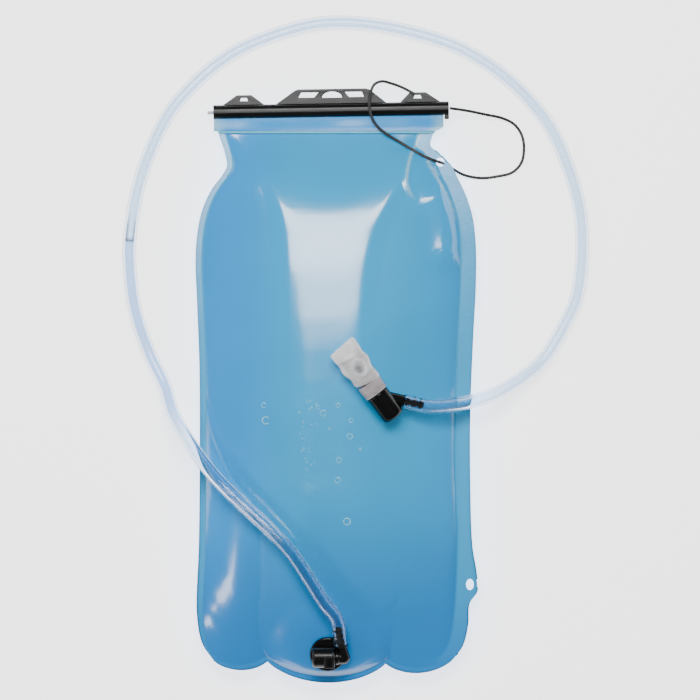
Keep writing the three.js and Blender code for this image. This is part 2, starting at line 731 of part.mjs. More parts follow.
// The hose leaves the elbow, crosses the bag's left edge to the floor, loops round above the mouth,
// comes back along the right and climbs to the bite valve.
const HOSE_ROUTE = [
  [-8.4, -152, 49], [-18.5, -136, 51.8], [-31.2, -117, 53], [-46.5, -100.3, 52], [-65.5, -82.8, 49],
  [-84, -64.6, 43.5], [-97, -48.5, 35.5], [-107.5, -32.4, 25.5], [-115, -18.4, 16], [-120.8, 0.5, 8.5],
  [-131, 21.5, 5], [-141.5, 53, 4.9], [-145.4, 84.5, 4.9], [-145.2, 105.5, 4.9], [-137.2, 147.5, 4.9],
  [-119, 189.5, 4.9], [-102.5, 209.8, 4.9], [-81.6, 228, 4.9], [-60.6, 240, 4.9], [-18.6, 253.6, 4.9],
  [6, 255.3, 4.9], [34, 252.5, 4.9], [76, 241.7, 4.9], [97, 231.9, 4.9], [118, 217.5, 4.9],
  [136.2, 200, 4.9], [151.6, 179, 4.9], [168, 137, 4.9], [172.6, 105.5, 4.9], [169, 63.5, 4.9],
  [160, 42.5, 5.2], [147.4, 21.5, 7], [137.2, 11, 10], [122.2, 0.5, 17], [107.5, -7.2, 25.6],
  [86.5, -12.6, 37.6],
];

// The hose is pushed over both barbs, so it starts and ends straight along their axes.
function hoseEnds() {
  model.updateMatrixWorld(true);
  const start = [ELBOW.collar[1] + GAP, ELBOW.barbEnd + HOSE.lead]
    .map((at) => port.localToWorld(elbowPoint(at)));
  const root = valve.localToWorld(new THREE.Vector3(0, 0, VALVE_ARM.rootZ));
  const end = [VALVE_ARM.barbEnd + HOSE.lead - 3, VALVE_ARM.shoulder + GAP]
    .map((at) => root.clone().addScaledVector(valveArmDirection(), at));
  return { start, end };
}

function buildHose() {
  const { start, end } = hoseEnds();
  const route = new THREE.CatmullRomCurve3([...start, ...vectors(HOSE_ROUTE), ...end], false, 'centripetal');
  const section = new THREE.Shape().absarc(0, 0, HOSE.outer, 0, 2 * Math.PI);
  section.holes.push(new THREE.Path().absarc(0, 0, HOSE.inner, 0, 2 * Math.PI, true));
  const tube = new THREE.ExtrudeGeometry(section, {
    steps: HOSE.steps,
    curveSegments: HOSE.sides / 2,
    bevelEnabled: false,
    extrudePath: route,
  });
  piece('drinking_hose', tube, clearTube());
}

// The strap starts on the right wing, passes over the closure, goes down through the shoulder
// eyelet, loops out over the floor and comes back to the closure's right end.
const TETHER_ROUTE = [
  [54.6, 204.6, 21.8], [45.2, 209.4, 22.6], [38.2, 211.8, 24.4], [31.9, 213.2, 26.4], [26.8, 211.2, 27.6],
  [24.2, 206.4, 27.4], [23.1, 200, 26.6], [23.3, 193, 25.8], [25.6, 186, 24.8], [29.4, 180.8, 23.6],
  [35, 176.4, 22.2], [43, 171.6, 20.8], [53.6, 165.2, 20.6], [64.2, 159.6, 20.6], [69.6, 157.6, 19.2],
  [72.7, 156.7, 16.2], [75.8, 155.6, 12.8], [81, 152.6, 9.4], [89.8, 148, 4.4], [101.9, 145.9, 1.5],
  [113, 147.1, 1.2], [123.6, 149.9, 1.2], [129.9, 156.6, 1.2], [131.8, 166.4, 1.2], [130.2, 176.2, 1.4],
  [125, 183.6, 2.4], [116.9, 187.8, 4.6], [104.7, 190.4, 9], [91, 193, 15], [79.5, 194.6, 18.2],
];

function buildTether() {
  const section = new THREE.Shape().absarc(0, 0, 0.85, 0, 2 * Math.PI);
  const tube = new THREE.ExtrudeGeometry(section, {
    steps: 46,
    curveSegments: 4,
    bevelEnabled: false,
    extrudePath: new THREE.CatmullRomCurve3(vectors(TETHER_ROUTE), false, 'centripetal'),
  });
  piece('closure_tether', tube, strap());
}

// ------------------------------------------------------------------ assembly

buildReservoir();
buildMouth();
buildClosure();
buildPortBase();
buildPortHousing();
buildShutoff();
buildReleaseButton();
buildPlug();
buildElbow();
buildValveBody();
buildValveStem();
buildValveCollar();
buildMouthpiece();
buildHose();
buildTether();

export default model;
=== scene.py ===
import math
from contextlib import contextmanager

import bmesh
import bpy
import numpy as np
from mathutils import Matrix, Vector


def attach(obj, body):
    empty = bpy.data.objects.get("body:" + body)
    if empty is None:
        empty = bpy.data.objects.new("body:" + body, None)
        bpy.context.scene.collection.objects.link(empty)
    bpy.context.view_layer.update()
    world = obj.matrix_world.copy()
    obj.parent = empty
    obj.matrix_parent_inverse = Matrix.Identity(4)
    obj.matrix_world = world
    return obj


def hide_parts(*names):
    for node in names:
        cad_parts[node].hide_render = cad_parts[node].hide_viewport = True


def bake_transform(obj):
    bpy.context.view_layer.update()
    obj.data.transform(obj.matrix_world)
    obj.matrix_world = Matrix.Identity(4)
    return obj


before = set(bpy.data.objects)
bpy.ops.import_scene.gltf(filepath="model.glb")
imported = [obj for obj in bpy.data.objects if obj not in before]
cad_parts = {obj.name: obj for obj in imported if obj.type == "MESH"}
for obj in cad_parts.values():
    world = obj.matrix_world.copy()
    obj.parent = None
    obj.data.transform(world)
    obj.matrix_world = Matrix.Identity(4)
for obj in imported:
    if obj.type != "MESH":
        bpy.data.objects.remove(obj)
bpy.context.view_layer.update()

# Lengths in this script are millimetres until a mesh is made. The frame's axes: +Z up, +Y towards
# the mouth, +X towards the side that the closure slides off.
MM = 0.001
HARD_ANGLE = 38  # degrees: an edge of a moulded piece that turns more than this is drawn sharp

rng = np.random.default_rng(7)


# ---------------- small helpers

def smooth(low, high, value):
    t = np.clip((value - low) / (high - low), 0, 1)
    return t * t * (3 - 2 * t)


def mix(a, b, t):
    return a + (b - a) * t


def bell(offset):
    return np.exp(-offset ** 2)


def full_turn(steps):
    return np.linspace(0, 2 * np.pi, steps, endpoint=False)


def catmull_rom(points, samples=12):
    """Points along the centripetal Catmull-Rom curve through the given ones."""
    points = np.asarray(points, float)
    padded = np.vstack([2 * points[0] - points[1], points, 2 * points[-1] - points[-2]])
    t = (np.arange(samples) / samples)[:, None]
    spans = []
    for p0, p1, p2, p3 in zip(padded, padded[1:], padded[2:], padded[3:]):
        d0, d1, d2 = (np.linalg.norm(b - a) ** 0.5 for a, b in ((p0, p1), (p1, p2), (p2, p3)))
        m1 = ((p1 - p0) / d0 - (p2 - p0) / (d0 + d1) + (p2 - p1) / d1) * d1
        m2 = ((p2 - p1) / d1 - (p3 - p1) / (d1 + d2) + (p3 - p2) / d2) * d1
        a, b = 2 * (p1 - p2) + m1 + m2, -3 * (p1 - p2) - 2 * m1 - m2
        spans.append(((a * t + b) * t + m1) * t + p1)
    return np.vstack([*spans, points[-1:]])


def resample(points, count):
    """The same line with count points at equal distances."""
    along = np.concatenate([[0], np.cumsum(np.linalg.norm(np.diff(points, axis=0), axis=1))])
    wanted = np.linspace(0, along[-1], count)
    return np.column_stack([np.interp(wanted, along, points[:, k]) for k in range(points.shape[1])])


def line_length(points):
    return float(np.linalg.norm(np.diff(points, axis=0), axis=1).sum())


def add_object(name, data):
    added = bpy.data.objects.new(name, data)
    bpy.context.scene.collection.objects.link(added)
    return added


def make_mesh(name, vertices, faces, smooth_angle=40):
    """A mesh object from millimetre points, shaded smooth up to an angle."""
    data = bpy.data.meshes.new(name)
    data.from_pydata((np.asarray(vertices, float) * MM).tolist(), [], faces)
    data.validate()
    piece = add_object(name, data)
    shade(piece, smooth_angle)
    return piece


@contextmanager
def edited(piece):
    """The piece's mesh, opened for editing and then put back."""
    mesh = bmesh.new()
    mesh.from_mesh(piece.data)
    yield mesh
    mesh.to_mesh(piece.data)
    mesh.free()


def shade(piece, angle=HARD_ANGLE):
    """Smooth shading across every edge that turns less than an angle."""
    limit = math.radians(angle)
    with edited(piece) as mesh:
        bmesh.ops.recalc_face_normals(mesh, faces=mesh.faces)
        for face in mesh.faces:
            face.smooth = True
        for edge in mesh.edges:
            edge.smooth = len(edge.link_faces) == 2 and edge.calc_face_angle(0) < limit


def apply_modifiers(piece):
    graph = bpy.context.evaluated_depsgraph_get()
    data = bpy.data.meshes.new_from_object(piece.evaluated_get(graph))
    piece.modifiers.clear()
    piece.data = data
    return piece


def bevelled(piece, width):
    modifier = piece.modifiers.new("edge", "BEVEL")
    modifier.width = width * MM
    modifier.segments = 3
    modifier.limit_method = "ANGLE"
    modifier.angle_limit = math.radians(35)
    modifier.harden_normals = False
    apply_modifiers(piece)
    shade(piece)
    return piece


def joined(name, pieces):
    """Several mesh objects made into one."""
    whole = add_object(name, bpy.data.meshes.new(name))
    with edited(whole) as mesh:
        for piece in pieces:
            piece.data.transform(piece.matrix_world)
            mesh.from_mesh(piece.data)
            bpy.data.objects.remove(piece)
    return whole


def placed(piece, matrix):
    """Moves a piece's mesh by a matrix given in millimetres."""
    scaled = matrix.copy()
    scaled.translation = matrix.translation * MM
    piece.data.transform(scaled)
    return piece


def grid_faces(rows, columns, closed=False, first=0):
    """Quads over a grid of points stored row by row."""
    across = columns if closed else columns - 1
    faces = []
    for j in range(rows - 1):
        for i in range(across):
            k = (i + 1) % columns
            faces.append((first + j * columns + i, first + j * columns + k,
                          first + (j + 1) * columns + k, first + (j + 1) * columns + i))
    return faces


def lathe(name, profile, sides, soften=0, ring=False, angle=40):
    """Turns [radius, height] pairs about Z, with softened corners. A ring's profile closes on itself."""
    if soften:
        profile = rounded(profile, soften)
    turn = full_turn(sides)
    rows = profile + [profile[0]] if ring else profile
    vertices = [(r * math.cos(a), r * math.sin(a), h) for r, h in rows for a in turn]
    piece = make_mesh(name, vertices, grid_faces(len(rows), sides, closed=True), angle)
    weld(piece)
    shade(piece, angle)
    return piece


def weld(piece, distance=0.002):
    """Merges points that lie on each other."""
    with edited(piece) as mesh:
        bmesh.ops.remove_doubles(mesh, verts=mesh.verts, dist=distance * MM)


def rounded(profile, radius, steps=4):
    """A profile whose inner corners are rounded with short arcs."""
    points = [profile[0]]
    for before, corner, after in zip(profile, profile[1:], profile[2:]):
        before, corner, after = (np.array(p, float) for p in (before, corner, after))
        a, b = before - corner, after - corner
        reach = min(radius, 0.45 * np.linalg.norm(a), 0.45 * np.linalg.norm(b))
        start = corner + a / np.linalg.norm(a) * reach
        end = corner + b / np.linalg.norm(b) * reach
        for t in np.linspace(0, 1, steps):
            points.append(tuple((1 - t) ** 2 * start + 2 * t * (1 - t) * corner + t * t * end))
    points.append(profile[-1])
    return points


def box(name, low, high, bevel):
    """A box with rounded edges."""
    size, centre = Vector(high) - Vector(low), (Vector(high) + Vector(low)) / 2
    piece = add_object(name, bpy.data.meshes.new(name))
    with edited(piece) as mesh:
        bmesh.ops.create_cube(mesh, size=1)
        for vertex in mesh.verts:
            vertex.co = Vector(a * b for a, b in zip(vertex.co, size)) + centre
        mesh.transform(Matrix.Scale(MM, 4))
    return bevelled(piece, bevel)


def harden(piece):
    """Smooth rounded edges beside truly flat faces."""
    shade(piece)
    modifier = piece.modifiers.new("normals", "WEIGHTED_NORMAL")
    modifier.keep_sharp = True
    modifier.weight = 100
    return apply_modifiers(piece)


def flat_plate(name, outlines, half, bevel):
    """A plate with rounded edges from closed outlines: the first is its rim, the others holes."""
    curve = bpy.data.curves.new(name, "CURVE")
    curve.dimensions = "2D"
    curve.fill_mode = "BOTH"
    curve.extrude = (half - bevel) * MM
    curve.bevel_depth = bevel * MM
    curve.bevel_resolution = 2
    curve.offset = -bevel * MM
    for outline in outlines:
        spline = curve.splines.new("POLY")
        spline.points.add(len(outline) - 1)
        for point, (x, y) in zip(spline.points, outline):
            point.co = (x * MM, y * MM, 0, 1)
        spline.use_cyclic_u = True
    holder = add_object(name, curve)
    graph = bpy.context.evaluated_depsgraph_get()
    data = bpy.data.meshes.new_from_object(holder.evaluated_get(graph))
    bpy.data.objects.remove(holder)
    piece = add_object(name, data)
    weld(piece, 0.02)
    shade(piece)
    return piece


def side_frames(path):
    """Tangents and two side directions along a path, turned as little as possible."""
    tangents = np.gradient(path, axis=0)
    tangents /= np.linalg.norm(tangents, axis=1)[:, None]
    start = np.array([0, 0, 1.0])
    side = start - tangents[0] * (start @ tangents[0])
    sides = []
    for tangent in tangents:
        side = side - tangent * (side @ tangent)
        side = side / np.linalg.norm(side)
        sides.append(side)
    sides = np.array(sides)
    return tangents, sides, np.cross(tangents, sides)


def tube_rings(path, radius, sides):
    """Rings of points round a path. The radius is one number or one for each point."""
    _, up, across = side_frames(path)
    turn = full_turn(sides)
    radius = np.broadcast_to(radius, len(path))[:, None, None]
    ring = up[:, None, :] * np.cos(turn)[:, None] + across[:, None, :] * np.sin(turn)[:, None]
    return path[:, None, :] + radius * ring


def capped(name, rings, angle=50):
    """A closed solid through rings of points, with flat ends."""
    count, sides = rings.shape[:2]
    faces = grid_faces(count, sides, closed=True)
    faces.append(tuple(range(sides - 1, -1, -1)))
    faces.append(tuple((count - 1) * sides + i for i in range(sides)))
    return make_mesh(name, rings.reshape(-1, 3), faces, angle)


def hollow_tube(name, path, outer, inner, sides):
    """An open tube with a real wall and flat ends."""
    count = len(path)
    outside, inside = tube_rings(path, outer, sides), tube_rings(path, inner, sides)
    vertices = np.vstack([outside.reshape(-1, 3), inside.reshape(-1, 3)])
    first = count * sides
    faces = grid_faces(count, sides, closed=True)
    faces += [face[::-1] for face in grid_faces(count, sides, closed=True, first=first)]
    for ring in (0, count - 1):
        for i in range(sides):
            k = (i + 1) % sides
            a, b = ring * sides + i, ring * sides + k
            faces.append((a, b, first + b, first + a))
    return make_mesh(name, vertices, faces, 60)


# ---------------- materials

def material(name, color, roughness, **inputs):
    made = bpy.data.materials.new(name)
    made.use_nodes = True
    shader = made.node_tree.nodes["Principled BSDF"]
    shader.inputs["Base Color"].default_value = (*color, 1)
    shader.inputs["Roughness"].default_value = roughness
    for key, value in inputs.items():
        shader.inputs[key.replace("_", " ")].default_value = value
    return made


def add_node(made, kind, links=None, **values):
    node = made.node_tree.nodes.new(kind)
    for key, value in values.items():
        if key in node.inputs.keys():
            node.inputs[key].default_value = value
        else:
            setattr(node, key, value)
    for socket, source in (links or {}).items():
        made.node_tree.links.new(source, node.inputs[socket])
    return node


def link(made, source, socket):
    made.node_tree.links.new(source, made.node_tree.nodes["Principled BSDF"].inputs[socket])


def place_noise(made, scale, detail=3, stretch=(1, 1, 1)):
    """Noise fixed to the piece, in its own coordinates."""
    where = add_node(made, "ShaderNodeTexCoord")
    mapped = add_node(made, "ShaderNodeMapping", {"Vector": where.outputs["Object"]}, Scale=stretch)
    noise = add_node(made, "ShaderNodeTexNoise", {"Vector": mapped.outputs[0]}, Scale=scale, Detail=detail)
    return noise.outputs["Fac"]


def ramp(made, source, low, high, positions=(0.35, 0.65)):
    node = add_node(made, "ShaderNodeValToRGB", {"Fac": source})
    for element, position, color in zip(node.color_ramp.elements, positions, (low, high)):
        element.position = position
        element.color = (*color, 1)
    return node.outputs["Color"]


def grey(value):
    return (value, value, value)


def vary(made, socket, noise, low, high):
    """Lets noise move one of the shader's inputs between two colours or greys."""
    link(made, ramp(made, noise, low, high), socket)


def add_bump(made, height, strength, distance):
    bump = add_node(made, "ShaderNodeBump", {"Height": height}, Strength=strength, Distance=distance)
    link(made, bump.outputs["Normal"], "Normal")


def times_tint(made, color):
    """A colour multiplied by the tint that paint() stores in the mesh."""
    tint = add_node(made, "ShaderNodeVertexColor", layer_name="tint")
    blend = add_node(made, "ShaderNodeMix", data_type="RGBA", blend_type="MULTIPLY")
    blend.inputs["Factor"].default_value = 1
    made.node_tree.links.new(color, blend.inputs["A"])
    made.node_tree.links.new(tint.outputs["Color"], blend.inputs["B"])
    return blend.outputs["Result"]


def film_material():
    """Glossy urethane film: its painted tint is stored in the mesh, with faint clouds in it."""
    made = material("film", (0, 0.33, 0.98), 0.2, IOR=1.5, Coat_Weight=0.7, Coat_IOR=1.6, Coat_Roughness=0.12)
    clouds = place_noise(made, 14, 2)
    shades = ramp(made, clouds, grey(0.94), grey(1.0))
    link(made, times_tint(made, shades), "Base Color")
    grain = place_noise(made, 900, 2)
    vary(made, "Roughness", grain, grey(0.17), grey(0.24))
    waves = place_noise(made, 45, 2)
    add_bump(made, waves, 0.12, 0.002)
    return made


def black_plastic(name, tone, roughness, grain_scale, bump):
    """Moulded plastic with a fine spark-eroded grain and slightly uneven gloss."""
    made = material(name, grey(tone), roughness, Specular_IOR_Level=0.22)
    grain = place_noise(made, grain_scale, 4)
    patches = place_noise(made, 60, 3)
    vary(made, "Base Color", patches, grey(tone * 0.75), grey(tone * 1.3))
    vary(made, "Roughness", patches, grey(roughness * 0.85), grey(roughness * 1.2))
    add_bump(made, grain, bump, 0.0002)
    return made


def clear_hose_material():
    """Clear flexible tube; its darker blue where the wall is seen edge on is painted shade, and the water in
    it tints its bore.
    """
    made = material("clear_hose", (0.8, 0.86, 0.98), 0.02, Transmission_Weight=1.0, IOR=1.42)
    facing = add_node(made, "ShaderNodeLayerWeight", Blend=0.35)
    # Painted shade: the wall's colour darkens and turns bluer as it is seen edge on.
    wall = ramp(made, facing.outputs["Facing"], (0.86, 0.92, 0.98), (0.3, 0.42, 0.68), (0.1, 0.8))
    link(made, times_tint(made, wall), "Base Color")
    streaks = place_noise(made, 60, 2)
    vary(made, "Roughness", streaks, grey(0.015), grey(0.04))
    return made


def silicone_material(name, low, high, roughness, painted):
    """Milky silicone or rubber. Where it is painted, the mesh stores painted light and shade."""
    made = material(
        name, high, roughness, IOR=1.41, Subsurface_Weight=0.35, Subsurface_Radius=(0.004, 0.004, 0.004))
    clouds = place_noise(made, 160, 4)
    color = ramp(made, clouds, low, high)
    link(made, times_tint(made, color) if painted else color, "Base Color")
    speckle = place_noise(made, 700, 2)
    add_bump(made, speckle, 0.25, 0.0003)
    return made


def speckled(name, low, high, roughness, scale, metallic=0.0, bump=0.2):
    """A plain finish with fine variation: rubber, natural plastic or steel."""
    made = material(name, high, roughness, Metallic=metallic)
    spots = place_noise(made, scale, 4)
    vary(made, "Base Color", spots, low, high)
    vary(made, "Roughness", spots, grey(roughness * 0.8), grey(min(1, roughness * 1.25)))
    add_bump(made, spots, bump, 0.0002)
    return made


def strap_material():
    """Black elastic strap with a fine even weave."""
    made = material("tether_strap", grey(0.012), 0.55, Sheen_Weight=0.3)
    weave = place_noise(made, 1400, 2)
    vary(made, "Base Color", weave, grey(0.006), grey(0.03))
    vary(made, "Roughness", weave, grey(0.42), grey(0.65))
    add_bump(made, weave, 0.5, 0.0002)
    return made


MATERIALS = {
    "film": film_material(),
    "film_bead": speckled("film_bead", (0.10, 0.62, 0.86), (0.16, 0.74, 0.95), 0.14, 90, bump=0.05),
    "closure_plastic": black_plastic("closure_plastic", 0.005, 0.24, 1300, 0.1),
    "port_plastic": black_plastic("port_plastic", 0.004, 0.24, 1500, 0.15),
    "button_plastic": black_plastic("button_plastic", 0.006, 0.28, 1500, 0.2),
    "valve_plastic": black_plastic("valve_plastic", 0.003, 0.18, 1500, 0.1),
    "white_plastic": speckled("white_plastic", grey(0.68), grey(0.78), 0.42, 300),
    "seal_rubber": speckled("seal_rubber", grey(0.012), grey(0.022), 0.6, 500),
    "spring_steel": speckled("spring_steel", grey(0.5), grey(0.62), 0.28, 800, metallic=1.0, bump=0.1),
    "collar_rubber": silicone_material("collar_rubber", (0.36, 0.32, 0.33), (0.46, 0.42, 0.43), 0.42, False),
    "clear_silicone": silicone_material("clear_silicone", (0.78, 0.78, 0.8), (0.95, 0.95, 0.96), 0.26, True),
    "clear_hose": clear_hose_material(),
    "tether_strap": strap_material(),
}


def paint(piece, colors):
    layer = piece.data.color_attributes.new("tint", "FLOAT_COLOR", "POINT")
    rgba = np.column_stack([colors, np.ones(len(colors))])
    layer.data.foreach_set("color", rgba.astype(np.float32).ravel())


def dress(piece, slot):
    piece.data.materials.clear()
    piece.data.materials.append(MATERIALS[slot])
    return piece


def stand_in(piece, slot, node, body):
    """Gives a piece its material and its body, and hides the CAD node it stands for."""
    dress(piece, slot)
    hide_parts(node)
    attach(piece, body)
    return piece


def settle(piece, slot, node, body):
    """Finishes a hard piece."""
    harden(piece)
    return stand_in(piece, slot, node, body)


def finish_marks(name, marks, angle, tones, finish):
    """Joins small marks on the film into one piece with a finish of their own."""
    whole = joined(name, marks)
    shade(whole, angle)
    tone = place_noise(finish, 300, 2)
    vary(finish, "Base Color", tone, *tones)
    whole.data.materials.append(finish)
    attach(whole, "reservoir")


# ---------------- camera, light and floor

def make_camera():
    """Straight above the bag and far away, with the view's width set at the height of the bag."""
    width, distance, middle = 0.490, 6.0, (0.00945, 0.025)
    data = bpy.data.cameras.new("camera")
    data.sensor_width = 36
    data.lens = data.sensor_width * distance / width
    data.clip_end = 20
    camera = add_object("camera", data)
    camera.location = (*middle, distance + 0.03)
    bpy.context.scene.camera = camera


def softbox(name, place, aim, size, radiance):
    """A rectangular light of the given brightness, aimed at a point. Everything in metres."""
    light = bpy.data.lights.new(name, "AREA")
    light.shape = "RECTANGLE"
    light.size, light.size_y = size
    light.energy = radiance * size[0] * size[1] * math.pi
    holder = add_object(name, light)
    holder.location = place
    holder.rotation_euler = (Vector(aim) - Vector(place)).to_track_quat("-Z", "Y").to_euler()


def make_lights():
    softbox("key", (-0.05, 0.50, 1.2), (-0.01, 0.09, 0.04), (0.62, 0.24), 21.0)
    softbox("key_skirt", (-0.04, 0.30, 1.22), (-0.01, 0.07, 0.04), (0.46, 0.16), 12.0)
    softbox("key_tail", (-0.04, 0.17, 1.23), (-0.01, 0.04, 0.04), (0.4, 0.12), 5.0)
    softbox("corner_softbox", (-1.12, -0.52, 0.88), (-0.07, -0.15, 0.03), (0.34, 0.26), 13.0)
    world = bpy.data.worlds.new("studio")
    world.use_nodes = True
    world.node_tree.nodes["Background"].inputs["Color"].default_value = (0.97, 0.985, 1, 1)
    world.node_tree.nodes["Background"].inputs["Strength"].default_value = 0.26
    bpy.context.scene.world = world


def make_floor():
    half = 3.0
    data = bpy.data.meshes.new("floor")
    corners = [(-half, -half, 0), (half, -half, 0), (half, half, 0), (-half, half, 0)]
    data.from_pydata(corners, [], [(0, 1, 2, 3)])
    floor = add_object("floor", data)
    floor.location.z = -0.0003
    data.materials.append(material(
        "floor", (0.93, 0.93, 0.93), 0.7, Emission_Color=(1, 1, 1, 1), Emission_Strength=2.3))


make_camera()
make_lights()
make_floor()

# ---------------- where the hard pieces stand

ROD_Z = 18.45
MOUTH = {"y": 192.8, "left": -86.0, "right": 75.0, "slope": 0.0166, "flap_end": 178.8}

PORT = {"x": -6.2, "y": -187.3, "tilt": math.radians(18)}
PORT_FRAME = Matrix.Translation((PORT["x"], PORT["y"], 27.95)) @ Matrix.Rotation(PORT["tilt"], 4, "X")
PORT_AXIS = 9.0  # height of the barrel's axis above the film
ELBOW = {"corner": 11.2, "lean": math.radians(10), "collar": (8.6, 10.0), "barb_end": 22.5}

CLOSURE_TURN = Matrix.Rotation(math.atan(MOUTH["slope"]), 4, "Z")
CLOSURE_FRAME = Matrix.Translation((0, MOUTH["y"], ROD_Z)) @ CLOSURE_TURN


def valve_frame():
    heading, rise = math.radians(127), math.radians(6)
    axis = Vector((math.cos(heading), math.sin(heading), 0))
    side = Vector((-math.sin(heading), math.cos(heading), 0))
    turn = Matrix((side, (0, 0, 1), axis)).transposed().to_4x4()
    return Matrix.Translation((28.1, -5.2, 57.8)) @ turn @ Matrix.Rotation(-rise, 4, "X")


# Where the bite valve lies: Z along it towards the mouthpiece, Y up.
VALVE_FRAME = valve_frame()
ARM = {"heading": math.radians(-12), "fall": math.radians(12), "shoulder": 18.2, "barb_end": 32.5}
ARM_START = Vector((0, 0, -2))
ARM_ROOT = VALVE_FRAME @ ARM_START
ARM_OUT = Vector((
    math.cos(ARM["fall"]) * math.cos(ARM["heading"]),
    math.cos(ARM["fall"]) * math.sin(ARM["heading"]),
    -math.sin(ARM["fall"]),
))


def elbow_point(distance):
    """A point on the axis of the elbow's barb, at a distance from the corner."""
    lean = ELBOW["lean"]
    local = Vector((ELBOW["corner"] - distance * math.sin(lean), distance * math.cos(lean), PORT_AXIS))
    return PORT_FRAME @ local


def arm_point(distance):
    """A point on the axis of the bite valve's barb."""
    return ARM_ROOT + ARM_OUT * distance


# ---------------- drinking hose and tether

HOSE = {"outer": 4.8, "inner": 3.2, "lead": 7.0}  # radii, and the straight run past each barb
TETHER = {"width": 2.0, "thickness": 0.7}
# Middle of the hose between its two barbs: down the film's left side, round on the floor and back up.
HOSE_ROUTE = [
    (-8.4, -152, 49), (-18.5, -136, 51.8), (-31.2, -117, 53), (-46.5, -100.3, 52), (-65.5, -82.8, 49),
    (-84, -64.6, 43.5), (-97, -48.5, 35.5), (-107.5, -32.4, 25.5), (-115, -18.4, 16), (-120.8, 0.5, 8.5),
    (-131, 21.5, 5), (-141.5, 53, 4.9), (-145.4, 84.5, 4.9), (-145.2, 105.5, 4.9), (-137.2, 147.5, 4.9),
    (-119, 189.5, 4.9), (-102.5, 209.8, 4.9), (-81.6, 228, 4.9), (-60.6, 240, 4.9), (-18.6, 253.6, 4.9),
    (6, 255.3, 4.9), (34, 252.5, 4.9), (76, 241.7, 4.9), (97, 231.9, 4.9), (118, 217.5, 4.9),
    (136.2, 200, 4.9), (151.6, 179, 4.9), (168, 137, 4.9), (172.6, 105.5, 4.9), (169, 63.5, 4.9),
    (160, 42.5, 5.2), (147.4, 21.5, 7), (137.2, 11, 10), (122.2, 0.5, 17), (107.5, -7.2, 25.6),
    (86.5, -12.6, 37.6),
]
# From the slider's right wing over the mouth and through the shoulder eyelet, then back to the slider.
TETHER_ROUTE = [
    (54.6, 204.6, 21.8), (45.2, 209.4, 22.6), (38.2, 211.8, 24.4), (31.9, 213.2, 26.4), (26.8, 211.2, 27.6),
    (24.2, 206.4, 27.4), (23.1, 200, 26.6), (23.3, 193, 25.8), (25.6, 186, 24.8), (29.4, 180.8, 23.6),
    (35, 176.4, 22.2), (43, 171.6, 20.8), (53.6, 165.2, 20.6), (64.2, 159.6, 20.6), (69.6, 157.6, 19.2),
    (72.7, 156.7, 16.2), (75.8, 155.6, 12.8), (81, 152.6, 9.4), (89.8, 148, 4.4), (101.9, 145.9, 1.5),
    (113, 147.1, 1.2), (123.6, 149.9, 1.2), (129.9, 156.6, 1.2), (131.8, 166.4, 1.2), (130.2, 176.2, 1.4),
    (125, 183.6, 2.4), (116.9, 187.8, 4.6), (104.7, 190.4, 9), (91, 193, 15), (79.5, 194.6, 18.2),
]
WATER_LEVEL = (-144.0, 102.0)  # where the water in the hose ends


def hose_path():
    start = [elbow_point(ELBOW["collar"][1] + 0.3), elbow_point(ELBOW["barb_end"] + HOSE["lead"])]
    end = [arm_point(ARM["barb_end"] + HOSE["lead"] - 3), arm_point(ARM["shoulder"] + 0.3)]
    points = [tuple(p) for p in start] + HOSE_ROUTE + [tuple(p) for p in end]
    return resample(catmull_rom(points), 640)


def bore_tint_and_shade(path, sides):
    """Water tints the bore up to its level; a dark hooked line at its surface and dark flanks of the bore
    just past it are painted shade.
    """
    level = int(np.hypot(path[:, 0] - WATER_LEVEL[0], path[:, 1] - WATER_LEVEL[1]).argmin())
    step = line_length(path) / (len(path) - 1)
    past = (np.arange(len(path)) - level) * step
    turn = full_turn(sides)
    flank_shade_mask = smooth(0.55, 0.95, np.abs(np.sin(turn)))[None, :]
    wet, dry, painted_shade_color = np.array([0.5, 0.64, 0.88]), np.array([0.7, 0.82, 0.95]), np.array([0.02, 0.04, 0.1])
    over_film = smooth(12, 30, path[:, 2])[:, None, None]
    colors = mix(wet, dry, smooth(-1, 1, past)[:, None, None] * np.ones((1, sides, 1)))
    colors = mix(colors, np.array([0.9, 0.95, 1.0]), over_film)
    # Painted shade: a dark hooked line at the water's surface, and dark flanks of the bore for a short way
    # past it.
    hook_shade = bell((past - 0.4) / 1.1)[:, None] * np.ones((1, sides))
    hook_shade += flank_shade_mask * (smooth(-1, 1, past) * (1 - smooth(10, 20, past)))[:, None]
    return mix(colors, painted_shade_color, np.clip(hook_shade, 0, 1)[..., None] * 0.9)


def make_hose():
    path, sides = hose_path(), 36
    hose = hollow_tube("drinking_tube", path, HOSE["outer"], HOSE["inner"], sides)
    bore = bore_tint_and_shade(path, sides).reshape(-1, 3)
    paint(hose, np.vstack([np.ones_like(bore), bore]))
    dress(hose, "clear_hose")
    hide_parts("drinking_hose")
    return hose, path


def make_tether():
    """A flat elastic strap: a thin rounded band that follows the route."""
    path = resample(catmull_rom(TETHER_ROUTE), 260)
    half_width, half_thick = TETHER["width"] / 2, TETHER["thickness"] / 2
    corners = [(-1, -0.6), (-0.8, -1), (0.8, -1), (1, -0.6), (1, 0.6), (0.8, 1), (-0.8, 1), (-1, 0.6)]
    tangents = side_frames(path)[0]
    flat = np.cross(tangents, [0, 0, 1.0])
    flat /= np.linalg.norm(flat, axis=1)[:, None] + 1e-9
    normal = np.cross(flat, tangents)
    rows = [
        [p + f * a * half_width + n * b * half_thick for a, b in corners]
        for p, f, n in zip(path, flat, normal)
    ]
    strap = capped("elastic_tether", np.array(rows))
    dress(strap, "tether_strap")
    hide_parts("closure_tether")
    return strap, path


hose, hose_line = make_hose()
tether, tether_line = make_tether()

# ---------------- reservoir film

FILM = {
    "thickness": 0.5, "seam_z": 16.0, "weld_left": 4.5, "weld_right": 11.0, "weld_bottom": 5.0,
    "crown": 30.0, "cut_width": 198.0,
}
COLUMNS, ROWS = 180, 330  # of the grid of points in each panel
FILM_ANGLE = 70

